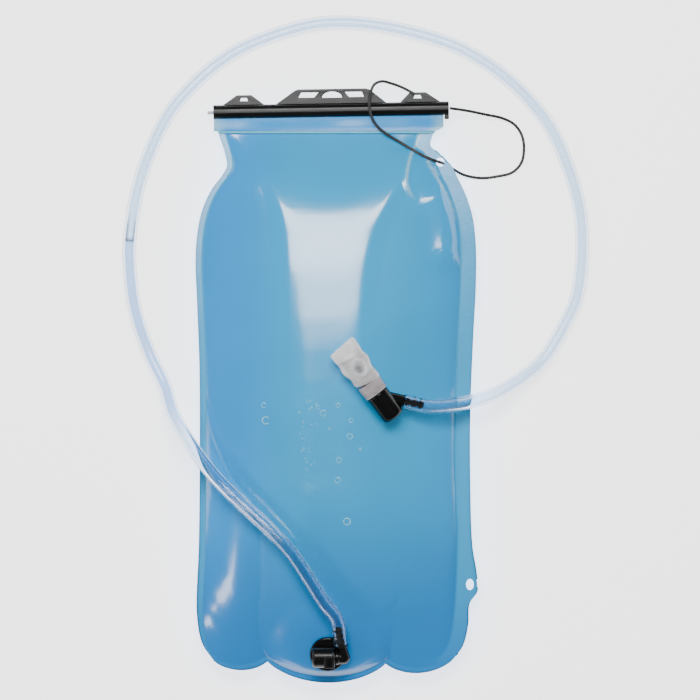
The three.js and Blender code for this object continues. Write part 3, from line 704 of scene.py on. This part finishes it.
LEFT_EDGE = [
    (-86.5, -192.5), (-94.2, -181), (-98, -161), (-96.6, -110), (-96, -40), (-96.3, 15), (-98, 60),
    (-99, 88), (-97.6, 108), (-94, 124), (-87.5, 138), (-80, 148), (-77, 154), (-78.6, 164),
    (-82.5, 176), (MOUTH["left"], MOUTH["y"] + MOUTH["left"] * MOUTH["slope"]),
]
RIGHT_EDGE = [
    (81.6, -192), (88.5, -183), (92.4, -168), (93.4, -153), (99, -144), (98.4, -131), (95.4, -112),
    (93.8, -60), (94, -15), (96, 35), (97.8, 70), (97.8, 98), (95.6, 118), (91, 133), (85.4, 145),
    (79.6, 156), (72.5, 163.2), (66, 168.2), (67.2, 175), (71.5, 183),
    (MOUTH["right"], MOUTH["y"] + MOUTH["right"] * MOUTH["slope"]),
]
# The scalloped bottom: the notches between its lobes, and how far each lobe hangs below them.
NOTCHES = [(-86.5, -192.5), (-48.5, -193.3), (34.5, -194.8), (81.6, -192)]
LOBES = [6.8, 14.4, 8.3]
# Holes as x, y and half sizes.
EYELET = (72.7, 156.8, 3.15, 3.15)
TAB_HOLE = (93.6, -139.5, 2.7, 3.9)
PORT_HOLE = (PORT["x"], PORT["y"], 6.8, 6.8)
SEAM_HALF_GAP = 0.15  # keeps the two films apart at the weld

# How full the bag is on its way up to the mouth: height along Y, share of the crown.
NECK = [
    (-220, 1), (25, 1), (60, 0.93), (100, 0.77), (137, 0.53), (158, 0.26), (170, 0.11), (178, 0.03),
    (186, 0), (200, 0),
]

# Soft folds of the front film: width, height and the line each one follows.
FOLDS = [
    (2.0, 1.3, [(60, 178), (56, 170), (52, 161), (49.5, 150), (49, 142), (52, 134), (57, 129)]),
    (1.9, 1.1, [(61.5, 168), (64, 157), (70, 146), (76, 136), (81, 124), (84, 112)]),
    (12.0, 6.4, [(64, 146), (73, 134), (80, 114), (81, 96), (76, 76)]),
    (9.0, 0.7, [(-80, 164), (-72, 158), (-62, 146), (-54, 130)]),
    (14.0, 1.0, [(-78, -40), (-74, -90), (-70, -130), (-62, -165)]),
    (12.0, 0.8, [(-20, -60), (-24, -100), (-30, -140), (-34, -170)]),
    (11.0, 0.8, [(48, -70), (44, -110), (38, -150), (34, -180)]),
]
# Long soft shoulders either side of the middle: fall, width, side it falls to, and its line.
SHOULDERS = [
    (1.7, 13, -1, [(-50, 158), (-41, 140), (-36, 120), (-33.5, 96), (-32.5, 60), (-32, 20), (-32, -30)]),
    (1.5, 14, 1, [(44, 152), (36, 134), (26, 112), (19, 88), (16, 55), (15, 20), (15, -20)]),
]


def bottom_y(x):
    """The scalloped bottom edge."""
    y = np.zeros_like(x)
    for (x0, y0), (x1, y1), depth in zip(NOTCHES, NOTCHES[1:], LOBES):
        t = np.clip((x - x0) / (x1 - x0), 0, 1)
        lobe = mix(y0, y1, t) - depth * np.clip(1 - (2 * t - 1) ** 2, 0, 1) ** 0.8
        y = np.where((x >= x0 - 1e-6) & (x <= x1 + 1e-6), lobe, y)
    return y


def film_stations():
    """Grid lines that crowd towards the side welds."""
    u = (1 - np.cos(np.linspace(0, np.pi, COLUMNS))) / 2
    return mix(np.linspace(0, 1, COLUMNS), u, 0.35)


def flat_pattern():
    """The bag's outline blended into a grid of flat points, with distances from its edges."""
    u = film_stations()[None, :]
    left = resample(catmull_rom(LEFT_EDGE, 24), ROWS)[:, None, :]
    right = resample(catmull_rom(RIGHT_EDGE, 24), ROWS)[:, None, :]
    v = np.linspace(0, 1, ROWS)[:, None, None]
    bottom_x = mix(left[0, 0, 0], right[0, 0, 0], u[0])
    bottom = np.column_stack([bottom_x, bottom_y(bottom_x)])[None]
    spread = u[..., None]
    top = mix(left[-1:], right[-1:], spread)
    ruled = mix(bottom, top, v)
    sides = mix(left, right, spread)
    corners = mix(mix(left[:1], right[:1], spread), top, v)
    points = ruled + sides - corners
    width = (right - left)[..., 0]
    length = line_length(catmull_rom(LEFT_EDGE, 24))
    x, y = points[..., 0], points[..., 1]
    plain_edge = catmull_rom([p for p in RIGHT_EDGE if not -155 < p[1] < -130], 24)
    return x, y, u * width, np.interp(y, plain_edge[:, 1], plain_edge[:, 0]) - x, v[..., 0] * length


def quarter_round(distance, run):
    t = np.clip(distance / run, 0, 1)
    return np.sqrt(1 - (1 - t) ** 2)


def soft_round(distance, run, full):
    """Like quarter_round, with a gentler start at the weld."""
    t = np.clip(distance / run, 0, 1)
    eased = t * t / (t + 0.12) * 1.12
    return mix(np.sin(t * np.pi / 2), np.sqrt(1 - (1 - eased) ** 2), full)


def near_line(x, y, line):
    """Distance from a polyline and the share of the way along it, for every grid point."""
    dense = resample(catmull_rom(line, 8), 40)
    gap = np.hypot(x[..., None] - dense[:, 0], y[..., None] - dense[:, 1])
    nearest = gap.argmin(-1)
    return np.take_along_axis(gap, nearest[..., None], -1)[..., 0], nearest / 39


def fold_relief(x, y):
    """Raised soft folds that fade out at both ends."""
    height = np.zeros_like(x)
    for width, rise, line in FOLDS:
        gap, share = near_line(x, y, line)
        fade = smooth(0, 0.22, share) * (1 - smooth(0.72, 1, share))
        height += rise * fade * bell(gap / width)
    return height


def shoulder_fall(x, y):
    """Drops that turn the middle of the front into a long flat-topped swell."""
    height = np.zeros_like(x)
    for fall, width, side, line in SHOULDERS:
        dense = resample(catmull_rom(line, 8), 60)
        edge = np.interp(y, dense[::-1, 1], dense[::-1, 0])
        fade = smooth(-30, 40, y) * (1 - smooth(138, 160, y))
        height -= fall * fade * smooth(0, width, side * (x - edge))
    dent = bell((x + 6) / 26) * bell((y - 146) / 15)
    return height - 1.3 * dent


def seam_puckers(x, y, from_edge, phase):
    """Short shallow gathers where the swollen film meets a weld."""
    along = 0.21 * y + 0.17 * x + phase
    wave = np.sin(along) + 0.6 * np.sin(2.3 * along + 1.3)
    return 0.07 * wave * bell((from_edge - 7) / 7) * (from_edge > 0)


X, Y, FROM_LEFT, FROM_RIGHT, FROM_BOTTOM = flat_pattern()


def front_heights():
    """Height of the front film's inner face above the floor, over the flat pattern."""
    x, y = X, Y
    inner_left, inner_right = FROM_LEFT - FILM["weld_left"], FROM_RIGHT - FILM["weld_right"]
    inner_bottom = FROM_BOTTOM - FILM["weld_bottom"]
    run = mix(80, 26, smooth(95, 160, y))
    body = soft_round(inner_left, run, 0.55) * soft_round(inner_right, run, 0.5)
    body = body * soft_round(inner_bottom, 130, 0.4)
    neck = np.interp(y, *zip(*[tuple(p) for p in catmull_rom(NECK, 8)]))
    rise = FILM["crown"] * body * neck
    rise += (fold_relief(x, y) + shoulder_fall(x, y)) * np.clip(body * 3, 0, 1)
    for distance, phase in ((inner_left, 0.4), (inner_right, 2.1), (inner_bottom, 4.0)):
        rise += seam_puckers(x, y, distance, phase)
    # Round the port the film lies in the plane of the flange, and meets it from the bottom weld.
    plane = 11 + math.tan(PORT["tilt"]) * (y - PORT["y"])
    flat = 1 - smooth(19, 44, np.hypot(x - PORT["x"], y - PORT["y"]))
    ramp_up = 12 * np.tanh(np.clip(inner_bottom, 0, 60) / 12) * 1.02
    plane = np.minimum(plane, mix(plane, ramp_up, 1 - smooth(6, 14, inner_bottom)))
    rise = np.where(inner_bottom > 0, mix(rise, plane, flat * smooth(-2, 5, inner_bottom)), rise)
    return FILM["seam_z"] + SEAM_HALF_GAP + np.maximum(rise, 0)


def back_heights():
    body = quarter_round(FROM_LEFT - FILM["weld_left"], 28)
    body = body * quarter_round(FROM_RIGHT - FILM["weld_right"], 28)
    body = body * quarter_round(FROM_BOTTOM - FILM["weld_bottom"], 30) * (1 - smooth(118, 176, Y))
    return (FILM["seam_z"] - SEAM_HALF_GAP - FILM["thickness"]) * (1 - body)


def arc(x, y, radius, angles):
    return [(x + radius * math.cos(a), y + radius * math.sin(a)) for a in np.radians(angles)]


def fold_line(layer):
    """Centre line of one film layer round the hem rod, as (y, z) from the rod's axis."""
    layer_gap, first_wrap, first_bend, bend_offset = 1.1, 1.9, 2.2, 0.75
    leaving = math.radians(150)
    reach = first_wrap + first_bend
    centre_y = reach * math.cos(leaving) - bend_offset * math.sin(leaving)
    centre_z = reach * math.sin(leaving) + bend_offset * math.cos(leaving)
    back = first_bend - layer * layer_gap
    around = arc(0, 0, first_wrap + layer * layer_gap, np.arange(-75, 151, 15))
    bend = arc(centre_y, centre_z, back, np.arange(-40, -91, -10))
    flap_z = centre_z - back
    flap = [(y, flap_z + 0.06 * (y + 3.9)) for y in np.linspace(-5.2, -12.6, 7)]
    return around + bend + flap + [(None, flap_z - 0.55)]


def lip_ripple(x):
    """The slight waviness of the flap's free edge along the mouth."""
    return 0.3 * (0.35 * np.sin(x / 17 + 0.6) + 0.2 * np.sin(x / 6.1))


def fold_grid(layer, u):
    """The folded rows of one sheet, from the rod to the flap's free edge."""
    rows = []
    for y, z in fold_line(layer):
        free = y is None
        x = mix(MOUTH["left"] + (1.6 if free else 0), MOUTH["right"] - (4.6 if free else 0), u)
        if free:
            place, waviness = np.full_like(x, MOUTH["flap_end"]), 1
        else:
            place, waviness = MOUTH["y"] + x * MOUTH["slope"] + y, smooth(-6, -12, y)
        rows.append(np.stack([x, place, ROD_Z + z + lip_ripple(x) * waviness], -1))
    return np.array(rows)


def open_hole(mesh, x, y, half_x, half_y):
    """Removes the film inside an ellipse and draws the rim onto it."""
    def reach(vertex):
        return math.hypot((vertex.co.x / MM - x) / half_x, (vertex.co.y / MM - y) / half_y)
    gone = [f for f in mesh.faces if min(reach(v) for v in f.verts) < 1]
    bmesh.ops.delete(mesh, geom=gone, context="FACES")
    for vertex in mesh.verts:
        share = reach(vertex)
        if share < 2.2 and vertex.is_boundary:
            vertex.co.x = (x + (vertex.co.x / MM - x) / share) * MM
            vertex.co.y = (y + (vertex.co.y / MM - y) / share) * MM


def film_tint(fold_rows):
    """Linear colour of every film point: deep azure at the left and bottom, cyan in the middle, with painted
    highlights along the inner weld lines and the first two folds.
    """
    x, y, left, right, bottom = X, Y, FROM_LEFT, FROM_RIGHT, FROM_BOTTOM

    def wash(color, over, share):
        return mix(color, np.array(over), share[..., None])

    middle = smooth(-75, -25, x) * (1 - 0.4 * smooth(40, 90, x))
    color = wash(np.array([0.0, 0.38, 0.95]), (0.0, 0.48, 0.94), middle)
    color = wash(color, (0.0, 0.28, 0.80), 0.95 * smooth(-50, -180, y))
    sides = np.minimum(left / FILM["weld_left"], right / FILM["weld_right"])
    edge = np.minimum(sides, bottom / FILM["weld_bottom"])
    at_weld = (1 - smooth(0.8, 1.15, edge)) * smooth(-215, -120, y)
    color = wash(color, (0.02, 0.52, 0.97), 0.8 * at_weld)
    # Painted highlight: light lines along the inner edges of the side welds.
    weld_line_highlight = bell((left - FILM["weld_left"]) / 0.9) * smooth(-170, -60, y)
    weld_line_highlight = weld_line_highlight + 0.7 * bell((right - FILM["weld_right"]) / 0.8) * smooth(-60, 60, y)
    color = wash(color, (0.12, 0.66, 0.98), 0.55 * np.minimum(weld_line_highlight, 1))
    # Painted highlight: the crests of the first two folds are whitened along their lines.
    for width, _, line in FOLDS[:2]:
        gap, share = near_line(x, y, line)
        fade = smooth(0, 0.1, share) * (1 - smooth(0.8, 1, share))
        fold_highlight = bell(gap / (0.45 * width)) * fade
        color = wash(color, (0.5, 0.88, 1.0), 0.85 * fold_highlight)
    outer = np.minimum(np.minimum(left, bottom), (1 - film_stations()[None, :]) * 190)
    rim = (1 - smooth(0.4, 1.7, outer)) * (0.35 + 0.6 * smooth(-60, -190, y))
    color = wash(color, (0.0, 0.12, 0.34), rim)
    flap = np.broadcast_to(np.array([0.0, 0.40, 1.0]), (fold_rows, x.shape[1], 3)).copy()
    ends = np.abs(film_stations() - 0.5) * 2
    corner = smooth(0.86, 1.0, ends)[None, :] * np.linspace(0, 1, fold_rows)[:, None] ** 2
    return np.concatenate([color, wash(flap, (0.45, 0.85, 0.97), 0.75 * corner)])


def make_film(name, node, layer, heights, holes):
    """One film panel: its swollen body, its fold round the hem rod and its flap, in one sheet."""
    panel = np.stack([X, Y, heights], -1)
    folded = fold_grid(layer, film_stations())
    points = np.concatenate([panel, folded])
    piece = make_mesh(name, points.reshape(-1, 3), grid_faces(len(points), COLUMNS), FILM_ANGLE)
    paint(piece, film_tint(len(folded)).reshape(-1, 3))
    with edited(piece) as mesh:
        for hole in holes:
            open_hole(mesh, *hole)
        bmesh.ops.delete(mesh, geom=[v for v in mesh.verts if not v.link_faces], context="VERTS")
    wall = piece.modifiers.new("wall", "SOLIDIFY")
    wall.thickness = FILM["thickness"] * MM
    wall.offset = 1.0
    apply_modifiers(piece)
    shade(piece, FILM_ANGLE)
    stand_in(piece, "film", node, "reservoir")


FRONT = front_heights()
make_film("front_film", "front_panel", 0, FRONT, [EYELET, TAB_HOLE, PORT_HOLE])
make_film("back_film", "back_panel", 1, back_heights(), [EYELET, TAB_HOLE])


def front_surface_z(places):
    """Height of the front film's outside at the given places."""
    found = []
    for x, y in places:
        nearest = np.argsort(((X - x) ** 2 + (Y - y) ** 2).ravel())[:4]
        found.append(FRONT.ravel()[nearest].mean() + FILM["thickness"])
    return found


def make_lip_bead(name, node, z):
    """The thick rounded lip of one film, along the flap's free edge."""
    ends = np.linspace(MOUTH["left"] + 2.6, MOUTH["right"] - 5.4, 60)
    path = np.column_stack([ends, np.full_like(ends, MOUTH["flap_end"] - 1.1), z + lip_ripple(ends)])
    radius = 0.85 * np.minimum(1, np.sqrt(np.minimum(ends - ends[0], ends[-1] - ends) / 1.5 + 0.08))
    stand_in(capped(name, tube_rings(path, radius, 16)), "film_bead", node, "reservoir")


make_lip_bead("rear_bead", "rear_lip_bead", ROD_Z + 1.5)
make_lip_bead("front_bead", "front_lip_bead", ROD_Z - 0.4)


# Water bubbles that cling under the front film: place and radius of each.
BUBBLES = [
    (-50.6, -13.6, 2.0), (-49.2, -24.2, 3.0), (-13, -15, 1.5), (-9, -19.2, 2.4), (1.2, -13.6, 1.8),
    (10.2, -24.2, 1.7), (9.4, -35.4, 2.3), (1.8, -52, 2.2), (1.1, -66, 2.3), (7.4, -94.8, 2.8),
    (-4.8, -30, 0.9), (16.5, -44, 1.0),
]


def make_bubbles():
    """The rims of the bubbles, lying on the film: rings whose light cyan is a painted highlight."""
    places = list(BUBBLES)
    for _ in range(26):
        places.append((rng.uniform(-26, -12), rng.uniform(-58, -10), rng.uniform(0.4, 0.8)))
    heights = front_surface_z([place[:2] for place in places])
    domes = []
    for (x, y, radius), z in zip(places, heights):
        wire = 0.12 * radius + 0.1
        turn = full_turn(8)
        rim = [(radius - wire + wire * math.cos(a), wire * math.sin(a)) for a in turn]
        dome = lathe("bubble", rim, 20, ring=True, angle=80)
        domes.append(placed(dome, Matrix.Translation((x, y, z + 0.3 * wire))))
    # Painted highlight: the rims' light cyan stands in for light caught at the bubbles' edges.
    rim_highlight_finish = material("bubble", (0.2, 0.78, 0.98), 0.08, IOR=1.6)
    finish_marks("bubbles", domes, 80, [(0.1, 0.68, 0.95), (0.35, 0.85, 1.0)], rim_highlight_finish)


make_bubbles()


def make_ticks():
    """Raised generic graduation marks on the right weld, long and short in turn."""
    marks = []
    edge = resample(catmull_rom(RIGHT_EDGE, 24), 800)
    top = FILM["seam_z"] + SEAM_HALF_GAP + FILM["thickness"]
    for k, y in enumerate(np.linspace(146, 22, 32)):
        x = edge[np.abs(edge[:, 1] - y).argmin(), 0] - 3.2
        length = 3.6 if k % 4 == 0 else 1.8
        marks.append(box("tick", (x - length, y - 0.2, top - 0.2), (x, y + 0.2, top + 0.16), 0.1))
    raised = material("raised_mark", (0.03, 0.52, 0.94), 0.25)
    finish_marks("graduation_ticks", marks, 40, [(0.02, 0.47, 0.92), (0.08, 0.6, 0.95)], raised)


make_ticks()


# ---------------- closure slider

CLOSURE = {"left": -86.4, "right": 78.8, "low": -4.3, "high": 5.3, "half": 5.35, "cavity": 3.75}


def channel_section():
    """The C channel in (Y, Z): a rounded box with a bore that opens towards the bag."""
    low, high, half, cavity = (CLOSURE[k] for k in ("low", "high", "half", "cavity"))
    corner = 4
    near, far, side = low + corner, high - corner, half - corner
    return (
        [(-3.6, -cavity)]
        + arc(near, -side, corner, np.linspace(216, 270, 9))
        + arc(far, -side, corner, np.linspace(270, 360, 9))
        + arc(far, side, corner, np.linspace(0, 90, 9))
        + arc(near, side, corner, np.linspace(90, 173, 9))
        + arc(0, 0, cavity, np.linspace(150, -90, 28))
    )


def along_x(piece, start):
    """Turns a plate drawn in (Y, Z) so that its thickness lies along X from a station."""
    turn = Matrix(((0, 0, 1, start * MM), (1, 0, 0, 0), (0, 1, 0, 0), (0, 0, 0, 1)))
    piece.data.transform(turn)
    return piece


def make_closure():
    left, right, high = CLOSURE["left"], CLOSURE["right"], CLOSURE["high"]
    half_length = (right - left) / 2
    channel = along_x(flat_plate("channel", [channel_section()], half_length, 0.3), (left + right) / 2)
    root = high - 1.4  # the plates start inside the channel's back
    handle = [
        (-42.3, root), (34.9, root), (34.9, high), (23.4, 14.6), (20.6, 15.4), (-26.6, 15.4), (-29, 14.6),
        (-42.3, high),
    ]
    windows = [
        [(-26.6, 9.5), (-15.6, 9.5), (-12.4, 13.1), (-24.6, 13.1)],
        [(9.0, 9.5), (19.4, 9.5), (17.9, 13.1), (6.0, 13.1)],
        [(-3 + 7.0 * math.cos(a), 9.2 + 4.3 * math.sin(a)) for a in np.linspace(0, np.pi, 22)],
    ]
    left_wing = [(-79.5, root), (-50.8, root), (-50.8, high), (-59.6, 12), (-69.8, 12), (-79.5, high)]
    right_wing = [(44.8, root), (72.8, root), (72.8, high), (62.8, 12), (51.4, 12), (44.8, high)]

    def wing_hole(x):
        return [(x - 2.8, 7.8), (x + 2.8, 7.8), (x + 2, 10), (x - 2, 10)]

    parts = [
        channel,
        flat_plate("handle", [handle, *windows], 1.7, 0.45),
        flat_plate("left_wing", [left_wing, wing_hole(-64.8)], 1.5, 0.4),
        flat_plate("right_wing", [right_wing, wing_hole(57)], 1.5, 0.4),
        box("end_wall", (right - 3.2, -3.4, -4), (right, 3.6, 4), 0.3),
        box("stub", (right - 3.2, -7.2, -2.4), (right, -3.2, 2.4), 0.5),
        box("left_lip", (left, -4.25, 3.9), (left + 0.8, 5.25, 5.34), 0.2),
    ]
    closure = joined("slide_closure", parts)
    settle(placed(closure, CLOSURE_FRAME), "closure_plastic", "closure_slider", "slider")


make_closure()


# ---------------- outlet port

def turned_x(piece):
    """Turns a lathed piece so that its axis lies along X."""
    piece.data.transform(Matrix.Rotation(math.pi / 2, 4, "Y"))
    return piece


def at_port(piece):
    return placed(piece, PORT_FRAME)


def moved(piece, x=0.0, y=0.0, z=0.0):
    return placed(piece, Matrix.Translation((x, y, z)))


def make_port_housing():
    foot = lathe("foot", [(0, 0.3), (12.2, 0.3), (12.5, 1.2), (12.5, 2.8), (11.6, 3.5), (0, 3.6)], 72, 0.6)
    barrel = turned_x(lathe("barrel", [
        (0, -10.6), (4.9, -10.6), (4.9, -10.9), (5.8, -10.9), (7.2, -9.4), (7.2, 5), (4.4, 5), (4.4, 2),
        (0, 2),
    ], 64, 0.5))
    saddle = box("saddle", (-9.4, -6, 2.9), (4.9, 6, 9), 0.8)
    rib = turned_x(lathe("rib", [(6.8, 3.2), (7.42, 3.3), (7.42, 4.7), (6.8, 4.9)], 64, 0.3, ring=True))
    moved(barrel, z=PORT_AXIS)
    moved(rib, z=PORT_AXIS)
    housing = at_port(joined("port_body", [foot, barrel, saddle, rib]))
    settle(housing, "port_plastic", "port_housing", "reservoir")


def make_release_button():
    top = PORT_AXIS + 7.2
    parts = [box("pad", (-2.5, -4.4, top + 1.8), (4.6, 4.4, top + 3.3), 0.6)]
    for x in (-1.3, 0.1, 1.5, 2.9):
        parts.append(box("grip", (x, -3.4, top + 3.1), (x + 0.7, 3.4, top + 3.95), 0.3))
    button = at_port(joined("quick_release_button", parts))
    settle(button, "button_plastic", "release_button", "button")


def barb_profile(start, end):
    radius, teeth = 3.12, 3
    pitch = (end - start) / teeth
    profile = [(radius - 1.0, start - 0.5)]
    for k in range(teeth):
        profile += [(radius - 1.0, start + (k + 0.3) * pitch), (radius, start + (k + 0.42) * pitch),
                    (radius - 0.05, start + (k + 0.6) * pitch), (radius - 0.9, start + (k + 0.98) * pitch)]
    return profile + [(radius - 0.9, end), (1.5, end), (1.5, end - 3), (0, end - 3)]


def make_elbow():
    corner, lean = ELBOW["corner"], ELBOW["lean"]
    upright = Matrix.Rotation(-math.pi / 2, 4, "X")
    arm_turn = Matrix.Translation((corner, 0, PORT_AXIS)) @ Matrix.Rotation(lean, 4, "Z") @ upright
    socket = turned_x(lathe("socket", [
        (0, 5.6), (3.4, 5.6), (3.4, 5.4), (4.9, 5.4), (5.2, 5.9), (5.2, 7.6), (4.6, 8.1), (4.6, corner),
        (0, corner),
    ], 48, 0.35))
    moved(socket, z=PORT_AXIS)
    dome = lathe("dome", [(4.6 * math.sin(a), -4.6 * math.cos(a)) for a in np.linspace(0, np.pi, 24)], 48)
    moved(dome, corner, 0, PORT_AXIS)
    first, last = ELBOW["collar"]
    stalk = lathe("stalk", [
        (0, 0), (4.5, 0), (4.2, 3.2), (3.7, 5.4), (3.7, first), (4.9, first + 0.1), (4.9, last), (2.2, last),
        (0, last),
    ], 48, 0.4)
    placed(stalk, arm_turn)
    barb = placed(lathe("barb", barb_profile(last, ELBOW["barb_end"]), 40, angle=30), arm_turn)
    elbow = at_port(joined("swivel_elbow", [socket, dome, stalk, barb]))
    settle(elbow, "port_plastic", "hose_elbow", "elbow")


make_port_housing()
make_release_button()
make_elbow()


# ---------------- bite valve

def arm_frame():
    inward = VALVE_FRAME.to_3x3().inverted() @ ARM_OUT
    turn = Vector((0, 0, 1)).rotation_difference(inward).to_matrix().to_4x4()
    return Matrix.Translation(ARM_START) @ turn


def make_valve_body():
    body = lathe("body", [
        (0, -21), (6, -21), (7.4, -20.1), (8.1, -18.6), (8.1, -0.9), (7.8, -0.2), (5.3, -0.2), (5.3, 6),
        (4.2, 6), (4.2, 2), (0, 2),
    ], 64, 0.7)
    shoulder = ARM["shoulder"]
    arm = placed(lathe("arm", [
        (0, 0), (4.3, 0), (4.3, 12.5), (4.15, shoulder - 0.8), (3.9, shoulder), (2.6, shoulder),
        (0, shoulder),
    ], 48, 0.5), arm_frame())
    barb = placed(lathe("barb", barb_profile(shoulder, ARM["barb_end"]), 40, angle=30), arm_frame())
    whole = placed(joined("valve_body", [body, arm, barb]), VALVE_FRAME)
    return settle(whole, "valve_plastic", "bite_valve_body", "plug")


def make_collar():
    """Grey sleeve with ring ribs beside the black body, under the mouthpiece's slanted base."""
    profile = [(5.6, 0.1), (8.3, 0.1), (8.75, 0.4)]
    for k in range(3):
        profile += [(8.8, 0.9 + 1.1 * k), (8.3, 1.2 + 1.1 * k), (8.3, 1.5 + 1.1 * k), (8.8, 1.85 + 1.1 * k)]
    profile += [(8.85, 4.6), (8.9, 9.2), (8.6, 9.6), (5.6, 9.6)]
    collar = lathe("grip_collar", rounded(profile, 0.2, 3), 64, ring=True, angle=45)
    placed(collar, VALVE_FRAME)
    return settle(collar, "collar_rubber", "valve_collar", "bite_head")


# Sections of the mouthpiece: height, half width, half thickness.
BITE = [
    (9.9, 7.6, 7.6), (10.2, 8.9, 8.3), (12, 9.4, 8.4), (14.5, 9.3, 8.2), (17, 9.0, 7.9), (19.5, 9.4, 7.4),
    (22, 10.3, 6.9), (24.5, 10.9, 6.4), (27, 10.7, 6.0), (29.5, 10.1, 5.6), (32, 10.2, 5.2), (35, 10.5, 4.7),
    (38.5, 10.6, 4.2), (40.6, 10.3, 3.8), (41.25, 9.6, 3.2), (41.4, 7.9, 2.2),
]


def bite_painted_light(px, height, front):
    """Painted light and shade on the silicone: lighter at its lips and edges, a painted highlight ring round
    the dimple, painted shade in the dimple and along two grooves.
    """
    # Painted light and shade: lighter towards the tip and the side edges, darker near the base.
    tone = mix(0.72, 0.98, smooth(27, 39, height)) * mix(1, 0.84, smooth(16, 11, height))
    tone = mix(tone, 0.98, smooth(6.5, 9.5, np.abs(px)) * 0.7)
    # Painted highlight: a bright ring round the dimple on the front faces.
    ring = np.hypot((px + 1.6) / 4.6, (height - 22.8) / 5.4)
    tone = mix(tone, 1.0, bell((ring - 1) / 0.22) * 0.8 * front)
    # Painted shade: the middle of the dimple is darkened and made slightly bluer.
    dimple_shade = bell(np.hypot(px / 3.0, (height - 21.6) / 3.2)) * front
    tone = tone * (1 - 0.66 * dimple_shade)
    # Painted shade along the upper and lower grooves.
    upper_groove_shade = bell((height - 29.5 - 0.25 * px) / 0.8)
    lower_groove_shade = bell((height - 15.2 + 0.1 * px) / 0.6)
    tone = tone * (1 - 0.22 * (upper_groove_shade + lower_groove_shade))
    cool = np.stack([tone * (1 - 0.12 * dimple_shade), tone * (1 - 0.04 * dimple_shade), tone], -1)
    warm = smooth(18, 11, height)[..., None] * np.array([0.0, 0.05, 0.045])
    return np.clip(cool * (1 - warm), 0, 1)


def make_mouthpiece():
    """Soft bite piece: round at its base, flat at its tip, with a thumb dimple on each face."""
    turn = full_turn(96)
    c, s = np.cos(turn), np.sin(turn)
    facing = smooth(0.15, 0.5, np.abs(s))
    rows, colors = [], []
    for height, wide, thick in catmull_rom(BITE, 7):
        square = 2 + 0.9 * smooth(16, 34, height)
        px = wide * np.sign(c) * np.abs(c) ** (2 / square)
        py = thick * np.sign(s) * np.abs(s) ** (2 / square)
        dimple = 1.7 * bell(px / 3.2) * bell((height - 21.8) / 3.4)
        ridge = 0.5 * bell((np.hypot((px + 1) / 5.2, (height - 22.5) / 6.0) - 1) / 0.25)
        lip = 0.35 * bell((height - 31.5 - 0.25 * px) / 1.2)
        py = py + np.sign(py) * facing * (ridge + lip - dimple)
        slant = height + 1.7 * (px / 9.0) * (1 - smooth(10, 20, height))
        slant -= 0.8 * (px / 10) * smooth(34, 41, height)
        rows.append(np.column_stack([px, py, slant]))
        colors.append(bite_painted_light(px, height + 0 * px, facing))
    bite = capped("bite_piece", np.array(rows), 60)
    paint(bite, np.array(colors).reshape(-1, 3))
    return stand_in(placed(bite, VALVE_FRAME), "clear_silicone", "mouthpiece", "bite_head")


valve_body = make_valve_body()
collar = make_collar()
mouthpiece = make_mouthpiece()


# ---------------- carried-over pieces and cords

CARRIED = {
    "hem_rod": "white_plastic", "port_flange": "port_plastic", "port_gasket": "seal_rubber",
    "chamber_cap": "port_plastic", "shutoff_poppet": "white_plastic", "poppet_spring": "spring_steel",
    "latch_plate": "spring_steel", "button_spring": "spring_steel", "plug_spigot": "port_plastic",
    "spigot_o_ring": "seal_rubber", "swivel_o_ring": "seal_rubber", "valve_stem": "white_plastic",
    "stem_o_ring": "seal_rubber",
}
for node, slot in CARRIED.items():
    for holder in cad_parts[node].material_slots:
        holder.material = MATERIALS[slot]


def declare_cords():
    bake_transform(hose)
    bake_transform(tether)


declare_cords()
